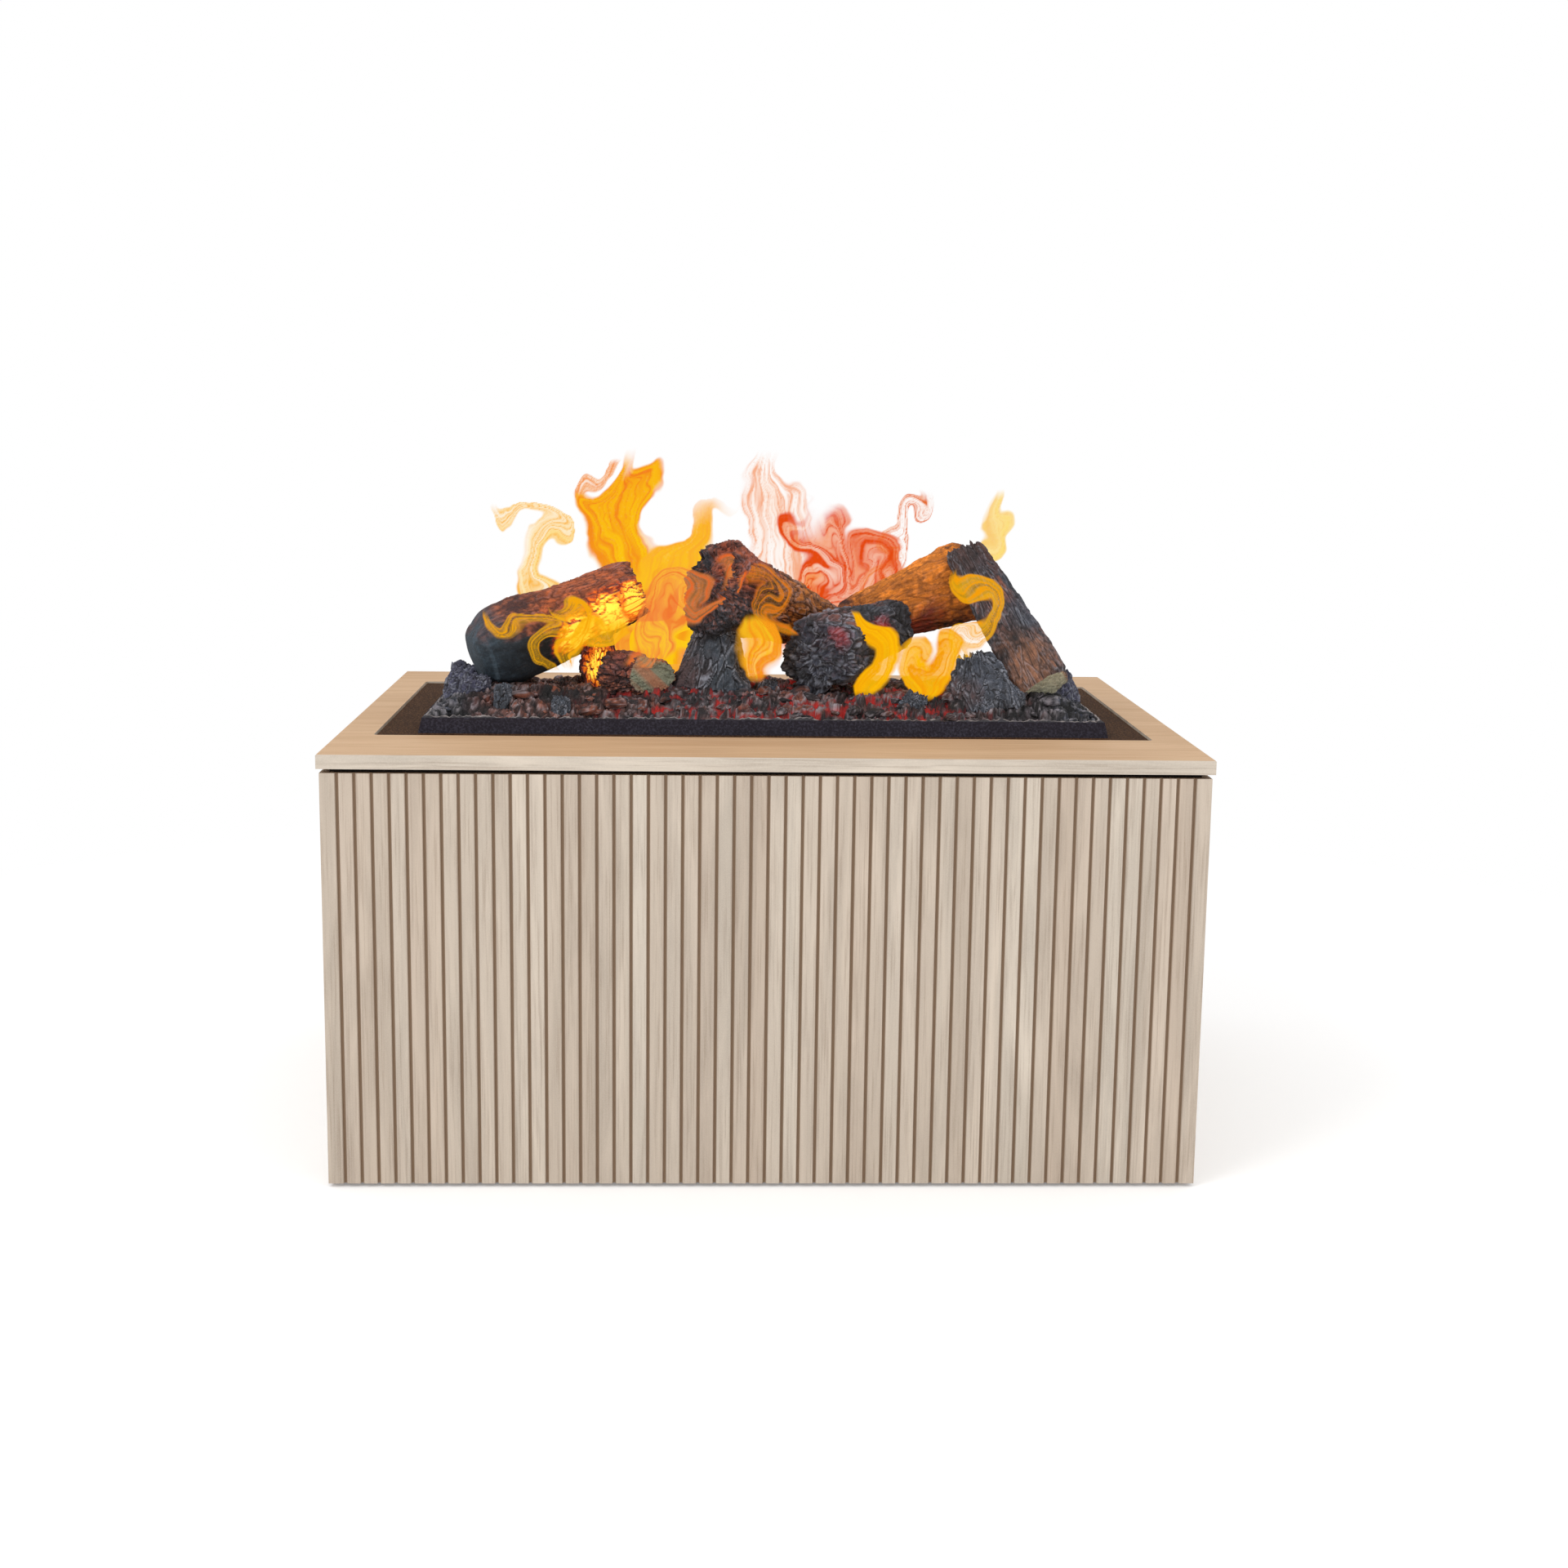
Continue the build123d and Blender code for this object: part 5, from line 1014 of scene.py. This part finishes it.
# Lit mist
# Tongues: a spine of (height, x, half width) and swirls of (x, height, reach, turn), in millimetres and
# radians; how many strands lie side by side, how dense the veil between them is, how far the outline is
# frayed, how strong the finest threads are, and the shares of the height between which the tongue shows;
# its two colours, and how far the mix goes from low to high at the foot, more at the top, more on a thread
MIST_BACK = [
    dict(seed=8, spine=[(520, -128, 84), (570, -128, 80), (610, -126, 62), (650, -118, 44), (700, -100, 20)],
         swirls=[(-165, 585, 30, 1.8), (-105, 620, 26, -2.2)], veil=0.9, fray=0.014, fade=(0, 0.6),
         low=(255, 196, 60), high=(240, 110, 40), mix=(0.1, 0.35, 0.6), alpha=0.95),
    dict(seed=1, spine=[(520, -146, 62), (560, -146, 66), (626, -152, 56), (676, -164, 53), (711, -171, 48),
                        (743, -179, 41), (767, -181, 33), (791, -183, 30), (812, -176, 23), (834, -168, 12)],
         swirls=[(-214, 790, 26, 2.2), (-150, 805, 24, -2.2), (-128, 750, 24, 2.4), (-200, 700, 30, -0.9)],
         strands=4, veil=1.08, fray=0.013, fade=(0, 0.94),
         low=(253, 199, 18), high=(244, 130, 30), mix=(-0.2, 0.5, 0.75)),
    dict(seed=22, spine=[(740, -222, 9), (765, -232, 12), (785, -226, 13), (805, -206, 10), (815, -190, 5)],
         swirls=[(-226, 780, 20, 1.8)], strands=2.5, veil=0.35, fray=0.011, fade=(0.1, 0.9), fine=0.5,
         low=(251, 190, 110), high=(243, 140, 60), mix=(0.0, 0.0, 0.9), alpha=0.95),
    dict(seed=2, spine=[(560, -118, 50), (640, -120, 52), (690, -116, 46), (718, -96, 30), (740, -62, 17),
                        (754, -24, 7)],
         swirls=[(-100, 735, 28, -1.2), (-50, 740, 20, 1.2)], strands=4, veil=0.98, fray=0.013, fade=(0, 0.8),
         low=(254, 206, 24), high=(250, 160, 50), mix=(-0.1, 0.6, 0.4)),
    dict(seed=3, spine=[(600, -292, 24), (640, -288, 32), (680, -284, 36), (705, -292, 26), (725, -318, 15),
                        (748, -342, 6)],
         swirls=[(-266, 700, 34, 3.0), (-325, 715, 26, -1.8), (-290, 655, 20, 1.6)], strands=3.5, veil=0.6,
         fray=0.014, low=(254, 216, 70), high=(250, 172, 40), mix=(0.0, 0.2, 0.8), alpha=0.95),
    dict(seed=4, spine=[(550, 40, 50), (640, 30, 66), (710, 16, 60), (760, 4, 44), (795, 2, 30), (822, 4, 16)],
         swirls=[(-40, 700, 40, 1.2), (35, 790, 26, -1.4), (0, 660, 20, 1.6)], strands=5, veil=0.30,
         fade=(0, 0.93), fine=0.6, low=(253, 214, 182), high=(244, 150, 92), mix=(0.0, 0.0, 0.9), alpha=0.85),
    dict(seed=5, spine=[(570, 70, 40), (610, 84, 56), (650, 106, 66), (690, 118, 66), (730, 100, 50),
                        (765, 60, 26)],
         swirls=[(88, 662, 28, 3.6), (142, 690, 28, -3.6), (55, 735, 28, 3.0), (115, 625, 22, 3.2),
                 (160, 640, 20, 2.6), (100, 715, 18, -2.4)], strands=3.5, veil=0.66, fray=0.015, fade=(0, 0.8),
         low=(248, 150, 74), high=(228, 74, 16), mix=(0.05, 0.0, 1.0)),
    dict(seed=6, spine=[(600, 150, 14), (660, 160, 22), (700, 178, 24), (740, 204, 18), (775, 216, 9)],
         swirls=[(214, 745, 20, 3.4), (170, 700, 20, -2.2), (240, 715, 18, -1.6)], strands=2.5, veil=0.14,
         fine=0.5, low=(252, 186, 120), high=(228, 108, 44), mix=(0.0, 0.3, 0.9)),
    dict(seed=7, spine=[(640, 284, 9), (680, 288, 10), (700, 298, 18), (725, 306, 23), (750, 306, 14),
                        (770, 304, 4)],
         swirls=[(296, 700, 16, 2.0), (318, 740, 14, -1.6)], strands=2.5, veil=0.95, fray=0.011,
         fade=(0.25, 0.9), low=(253, 222, 96), high=(248, 190, 84), mix=(0.0, 0.2, 0.7), alpha=0.88),
]
MIST_FRONT = [
    dict(seed=9, spine=[(565, -234, 5), (580, -246, 16), (598, -264, 26), (618, -288, 27), (636, -312, 17),
                        (650, -326, 6)],
         swirls=[(-250, 612, 26, 2.4), (-300, 622, 24, -2.4)], veil=0.22, fade=(0, 0.92), fine=0.5,
         low=(255, 190, 20), high=(240, 150, 10), mix=(0.0, 0.1, 0.6)),
    dict(seed=19, spine=[(566, -233, 4), (590, -228, 12), (615, -226, 17), (640, -232, 15), (656, -238, 7)],
         swirls=[(-224, 640, 22, -2.6), (-236, 600, 20, 1.4)], strands=2.5, veil=0.25, fray=0.010,
         fade=(0, 0.92), fine=0.5, low=(255, 196, 24), high=(240, 150, 10), mix=(0.0, 0.1, 0.6)),
    dict(seed=14, spine=[(590, -230, 8), (602, -204, 28), (616, -186, 30), (632, -176, 12)],
         swirls=[(-200, 612, 20, 1.6)], veil=0.75, fade=(0, 0.8),
         low=(255, 196, 20), high=(248, 160, 16), mix=(0.0, 0.2, 0.6), alpha=0.9),
    dict(seed=15, spine=[(572, -136, 22), (600, -122, 34), (630, -98, 42), (655, -80, 42), (685, -62, 28),
                         (705, -50, 10)],
         swirls=[(-78, 660, 28, 3.4), (-120, 610, 24, -2.2), (-50, 690, 20, -2.4)], veil=0.24, fray=0.014,
         fade=(0.05, 0.85), fine=0.5, low=(252, 176, 96), high=(240, 110, 44), mix=(0.0, 0.3, 0.8),
         alpha=0.85),
    dict(seed=16, spine=[(612, 34, 8), (640, 20, 24), (668, 2, 26), (700, -20, 10)],
         swirls=[(14, 655, 22, 2.8)], strands=3.5, veil=0.12, fade=(0.05, 0.9), fine=0.5,
         low=(252, 170, 30), high=(236, 120, 20), mix=(0.0, 0.2, 0.8), alpha=0.8),
    dict(seed=10, spine=[(530, 122, 8), (548, 130, 20), (568, 142, 22), (592, 153, 21), (612, 149, 17),
                         (630, 131, 13), (645, 112, 7)],
         swirls=[(140, 600, 30, -0.8)], veil=0.96, fray=0.008, fade=(0, 0.95),
         low=(255, 190, 10), high=(238, 146, 10), mix=(-0.1, 0.2, 0.6)),
    dict(seed=11, spine=[(530, 200, 5), (548, 200, 24), (568, 196, 40), (588, 198, 44), (606, 206, 34),
                         (620, 214, 12)],
         swirls=[(185, 585, 22, 2.4), (215, 600, 20, -2.0)], strands=3.5, veil=0.92, fade=(0, 0.85),
         low=(255, 192, 14), high=(240, 134, 10), mix=(-0.1, 0.25, 0.65)),
    dict(seed=13, spine=[(560, 214, 14), (600, 236, 20), (630, 252, 24), (660, 262, 24), (684, 258, 12),
                         (698, 250, 5)],
         swirls=[(256, 664, 26, -3.0), (240, 620, 20, 2.4)], strands=2.8, veil=0.36, fray=0.010,
         fade=(0, 0.92), fine=0.5, low=(255, 196, 20), high=(242, 146, 12), mix=(0.0, 0.1, 0.7)),
    dict(seed=12, spine=[(552, 0, 5), (568, -2, 20), (588, -6, 27), (610, -10, 25), (630, -18, 8)],
         swirls=[(0, 590, 20, 1.4)], veil=0.92, fade=(0, 0.85),
         low=(255, 196, 34), high=(244, 124, 24), mix=(0.2, -0.3, 0.7), alpha=0.98),
]
# The CAD node that the piece replaces, its tongues, plane, grid step and slot
MISTS = {
    "flames_back": (MIST_BACK, BACK_PLANE, BACK_STEP, "flame_back"),
    "flames_front": (MIST_FRONT, FRONT_PLANE, FRONT_STEP, "flame_front"),
}


def swirl(x, z, swirls):
    """Turns points round each centre, by its turn times a bell curve of the distance over the reach."""
    for *place, turn in swirls:
        cx, cz, reach = np.array(place) / 1000
        dx, dz = x - cx, z - cz
        angle = turn * np.exp(-(dx * dx + dz * dz) / (reach * reach))
        c, s = np.cos(angle), np.sin(angle)
        x, z = cx + c * dx - s * dz, cz + s * dx + c * dz
    return x, z


def threads(drawn_out, size, stretch, shift, width, power, seed):
    """Thin ridges along the lines where a drawn-out noise is 0. Returns them and the noise."""
    wave = smooth_noise(drawn_out * np.array([*stretch, 1.0]) + shift, seed)
    return size * np.clip(1 - np.abs(wave) * width, 0, 1) ** power, wave


def tongue(x, z, spine, swirls, strands, veil, seed, fray, fade, fine):
    """One tongue of mist at the places x, z. Points are bent by four sizes of noise and turned round the
    swirls; then s is how far they lie across the spine, from -1 to 1, and t how far along it. Threads are
    ridges of noise drawn out along the spine, laid on a cloudy veil, with a denser rim. Returns density,
    t, and how much of a thread each place holds."""
    for scale, share in ((9.0, 1.0), (22.0, 0.55), (55.0, 0.26), (120.0, 0.10)):
        x = x + fray * share * smooth_noise(stack(x * scale, z * scale, 3.1 + seed), seed)
        z = z + fray * share * smooth_noise(stack(x * scale, z * scale, 8.7 + seed), seed + 5)
    x, z = swirl(x, z, swirls)
    heights, middles, halves = spine
    s = (x - np.interp(z, heights, middles)) / np.interp(z, heights, halves)
    t = np.clip((z - heights[0]) / (heights[-1] - heights[0]), 0, 1)
    inside = (z > heights[0]) & (z < heights[-1])
    soft = 0.16 + 0.5 * smooth_noise(stack(s * 1.5, z * 24.0, seed * 2.3), seed + 29) ** 2
    body = step_up(1 - np.abs(s), 0.0, soft) * inside * step_up(z - heights[0], 0.0, 0.012)
    along = stack(s * strands, z * 7.0, seed * 1.7)
    coarse, wave = threads(along, 0.9, (1.0, 1.0), 0.0, 1.4, 4, seed + 11)
    thin, _ = threads(along, 0.6, (2.2, 1.7), 4.0, 1.6, 5, seed + 17)
    finest, _ = threads(along, fine, (3.4, 2.2), 9.0, 1.5, 4, seed + 37)
    drift = layered(stack(s * 1.2, z * 13.0, seed * 3.0), 3, 0.5, seed + 23) + 0.5 * wave
    cloud = np.clip(veil + (0.75 - 0.6 * veil) * drift, 0, 1)
    end = step_up(1 - t, 0.0, max(1e-6, 1 - fade[1])) * step_up(t - fade[0], -0.02, 0.06)
    lines = np.clip(coarse + thin + finest + 0.35 * bell(np.abs(s), 0.86, 0.10), 0, 1)
    return np.clip(body * (cloud + (1 - cloud) * lines) * end, 0, 1), t, lines


def mist_sheet(plane, step, seed, spine, swirls, low, high, mix, veil, strands=3, fray=0.012, fade=(0, 0.9),
               fine=0.4, alpha=1.0):
    """One tongue as a thin upright sheet that bellies to and fro with noise. It is kept only where the mist
    is dense enough to see; colour runs from low to high by height and by thread."""
    spine = np.array(spine).T / 1000
    heights, middles, halves = spine
    reach = 0.045
    x, z = np.meshgrid(np.arange((middles - halves).min() - reach, (middles + halves).max() + reach, step),
                       np.arange(heights[0], heights[-1] + reach, step))
    density, t, lines = tongue(x, z, spine, swirls, strands, veil, seed, fray, fade, fine)
    belly = 0.006 * smooth_noise(stack(x * 14, z * 14, seed), 3) * step_up(z, heights[0], heights[0] + 0.06)
    colour = lay(low, np.clip(mix[0] + mix[1] * t + mix[2] * lines, 0, 1), high)
    tint = np.concatenate([colour, (density * alpha)[..., None]], axis=-1).reshape(-1, 4)
    quads = sheet_quads(*x.shape)
    seen = tint[:, 3] > 0.008
    used, fresh = np.unique(quads[seen[quads].any(axis=1)], return_inverse=True)
    points = stack(x, plane + belly, z).reshape(-1, 3)
    return points[used], fresh.reshape(-1, 4), NO_TRIANGLES, tint[used], np.ones(len(used))


def mist_look(name, share):
    """Lit vapour: it shines in its painted colour and is as solid as its painted alpha, broken up a little
    by fine noise."""
    material, tree, shader = new_material(name)
    paint = put(tree, "ShaderNodeAttribute", attribute_name="paint").outputs
    fine = remap(tree, noise(tree, (260.0, 0.0, 260.0), 3.0, 0.6), 0.3, 0.7, 0.97, 1.05)
    feed(tree, shader, {
        "Base Color": (0.0, 0.0, 0.0, 1.0), "Roughness": 1.0, "Specular IOR Level": 0.0,
        "Emission Color": paint["Color"], "Emission Strength": 1.0,
        "Alpha": math_node(tree, "MINIMUM", times(tree, paint["Alpha"], fine), share)})
    return material


class FIRE_OT_mist(bpy.types.Operator):
    """Builds the tongues of lit mist behind and in front of the logs."""

    bl_idname = "fireplace.mist"
    bl_label = "Lit mist"

    def execute(self, context):
        look = mist_look("lit mist", context.scene.fire_glow.mist_share)
        for name, (tongues, plane, step, slot) in MISTS.items():
            sheets = [mist_sheet(plane + TONGUE_GAP * (number % 3 - 1), step, **form)
                      for number, form in enumerate(tongues)]
            add_piece(name + "_mist", sheets, look, slot, [name])
        return {"FINISHED"}


# Stage
def camera_matrix():
    """The camera's place and turn: it stands in front and above, looks down, a little to the right, and
    leans a little. Columns are its right, its up, and the way away from what it looks at."""
    yaw, pitch, roll = (math.radians(angle) for angle in CAMERA_TURN)
    ahead = np.array([-math.sin(yaw), math.cos(yaw), 0.0])
    right = np.array([math.cos(yaw), math.sin(yaw), 0.0])
    forward = math.cos(pitch) * ahead + np.array([0.0, 0.0, -math.sin(pitch)])
    up = math.sin(pitch) * ahead + np.array([0.0, 0.0, math.cos(pitch)])
    turn = np.eye(4)
    turn[:3, 0] = math.cos(roll) * right + math.sin(roll) * up
    turn[:3, 1] = -math.sin(roll) * right + math.cos(roll) * up
    turn[:3, 2] = -forward
    turn[:3, 3] = CAMERA_PLACE
    return Matrix(turn.tolist())


def area_light(name, place, target, size, power):
    """A round soft light at a place, shining at a target."""
    data = bpy.data.lights.new(name, "AREA")
    data.shape = "DISK"
    data.size = size
    data.energy = power
    lamp = bpy.data.objects.new(name, data)
    bpy.context.scene.collection.objects.link(lamp)
    away = np.array(place) - np.array(target)
    away /= np.linalg.norm(away)
    side = np.cross((0.0, 0.0, 1.0), away)
    side /= np.linalg.norm(side)
    lamp.location = place
    lamp.rotation_euler = Matrix(np.array([side, np.cross(away, side), away]).T.tolist()).to_euler()


def surroundings(sky):
    """A world that is white where the camera sees it, straight, mirrored or through glass, and lights the
    object at the sky's strength."""
    world = bpy.data.worlds.new("surroundings")
    world.use_nodes = True
    tree = world.node_tree
    tree.nodes.clear()
    path = put(tree, "ShaderNodeLightPath").outputs
    seen = math_node(tree, "MAXIMUM", path["Is Camera Ray"], path["Is Glossy Ray"])
    seen = math_node(tree, "MAXIMUM", seen, path["Is Transmission Ray"])
    strength = remap(tree, seen, 0.0, 1.0, sky, 1.0)
    light = put(tree, "ShaderNodeBackground", {"Color": WHITE, "Strength": strength})
    put(tree, "ShaderNodeOutputWorld", {"Surface": light.outputs["Background"]})
    return world


def pale_floor():
    """A pale floor: white where it is plainly lit or far off, and darker where the cabinet shades it."""
    mesh = bpy.data.meshes.new("floor")
    corners = [(-1, -1), (1, -1), (1, 1), (-1, 1)]
    mesh.from_pydata([(x * FLOOR_REACH, y * FLOOR_REACH, 0) for x, y in corners], [], [(0, 1, 2, 3)])
    floor = bpy.data.objects.new("floor", mesh)
    bpy.context.scene.collection.objects.link(floor)
    floor.location.z = -0.0005
    material, tree, shader = new_material("floor")
    grain = remap(tree, noise(tree, 40.0, 3.0), 0.3, 0.7, 0.0, 0.04)
    seen = put(tree, "ShaderNodeLightPath").outputs["Is Camera Ray"]
    feed(tree, shader, {
        "Base Color": blend(tree, grain, linear(247, 247, 247), linear(238, 238, 238)),
        "Roughness": 0.9, "Specular IOR Level": 0.1,
        "Emission Color": WHITE, "Emission Strength": times(tree, seen, 0.2)})
    place = put(tree, "ShaderNodeTexCoord").outputs["Object"]
    distance = put(tree, "ShaderNodeVectorMath", {0: place}, operation="LENGTH").outputs["Value"]
    far = times(tree, seen, remap(tree, distance, WHITE_FROM, WHITE_TO))
    plain = put(tree, "ShaderNodeEmission", {"Color": WHITE, "Strength": 1.0}).outputs["Emission"]
    mixed = put(tree, "ShaderNodeMixShader", {0: far, 1: shader.outputs["BSDF"], 2: plain})
    output = next(node for node in tree.nodes if node.type == "OUTPUT_MATERIAL")
    feed(tree, output, {"Surface": mixed.outputs["Shader"]})
    mesh.materials.append(material)


class FIRE_OT_stage(bpy.types.Operator):
    """Lays the pale floor and sets the camera, the soft lights and the white surroundings."""

    bl_idname = "fireplace.stage"
    bl_label = "Stage"

    def execute(self, context):
        scene = context.scene
        stage = scene.fire_stage
        scene.view_settings.view_transform = "Standard"
        data = bpy.data.cameras.new("camera")
        data.lens = stage.lens
        data.sensor_width = 36.0
        data.sensor_fit = "HORIZONTAL"
        data.clip_end = 100.0
        camera = bpy.data.objects.new("camera", data)
        scene.collection.objects.link(camera)
        camera.matrix_world = camera_matrix()
        scene.camera = camera
        area_light("key", (-2.3, -2.6, 3.2), (0.0, 0.0, 0.4), 1.8, stage.key_power)
        area_light("fill", (2.6, -2.2, 1.6), (0.0, 0.0, 0.3), 2.4, stage.fill_power)
        scene.world = surroundings(stage.sky)
        pale_floor()
        return {"FINISHED"}


class FIRE_PT_panel(bpy.types.Panel):
    """Lists the steps that dress the fireplace."""

    bl_label = "Fireplace"
    bl_idname = "FIRE_PT_panel"
    bl_space_type = "VIEW_3D"
    bl_region_type = "UI"
    bl_category = "Fireplace"

    def draw(self, context):
        for step in STEPS:
            self.layout.operator(step.bl_idname)


SETTINGS = {"fire_oak": OakSettings, "fire_plate": PlateSettings, "fire_glow": FireSettings,
            "fire_stage": StageSettings}
STEPS = [FIRE_OT_boards, FIRE_OT_plate, FIRE_OT_fittings, FIRE_OT_logs, FIRE_OT_embers, FIRE_OT_mist,
         FIRE_OT_stage]


def register():
    for cls in [*SETTINGS.values(), *STEPS, FIRE_PT_panel]:
        bpy.utils.register_class(cls)
    for name, cls in SETTINGS.items():
        setattr(bpy.types.Scene, name, bpy.props.PointerProperty(type=cls))


def unregister():
    for name in SETTINGS:
        delattr(bpy.types.Scene, name)
    for cls in reversed([*SETTINGS.values(), *STEPS, FIRE_PT_panel]):
        bpy.utils.unregister_class(cls)


def main():
    register()
    bpy.ops.fireplace.boards()
    bpy.ops.fireplace.plate()
    bpy.ops.fireplace.fittings()
    bpy.ops.fireplace.logs()
    bpy.ops.fireplace.embers()
    bpy.ops.fireplace.mist()
    bpy.ops.fireplace.stage()


if __name__ == "__main__":
    main()
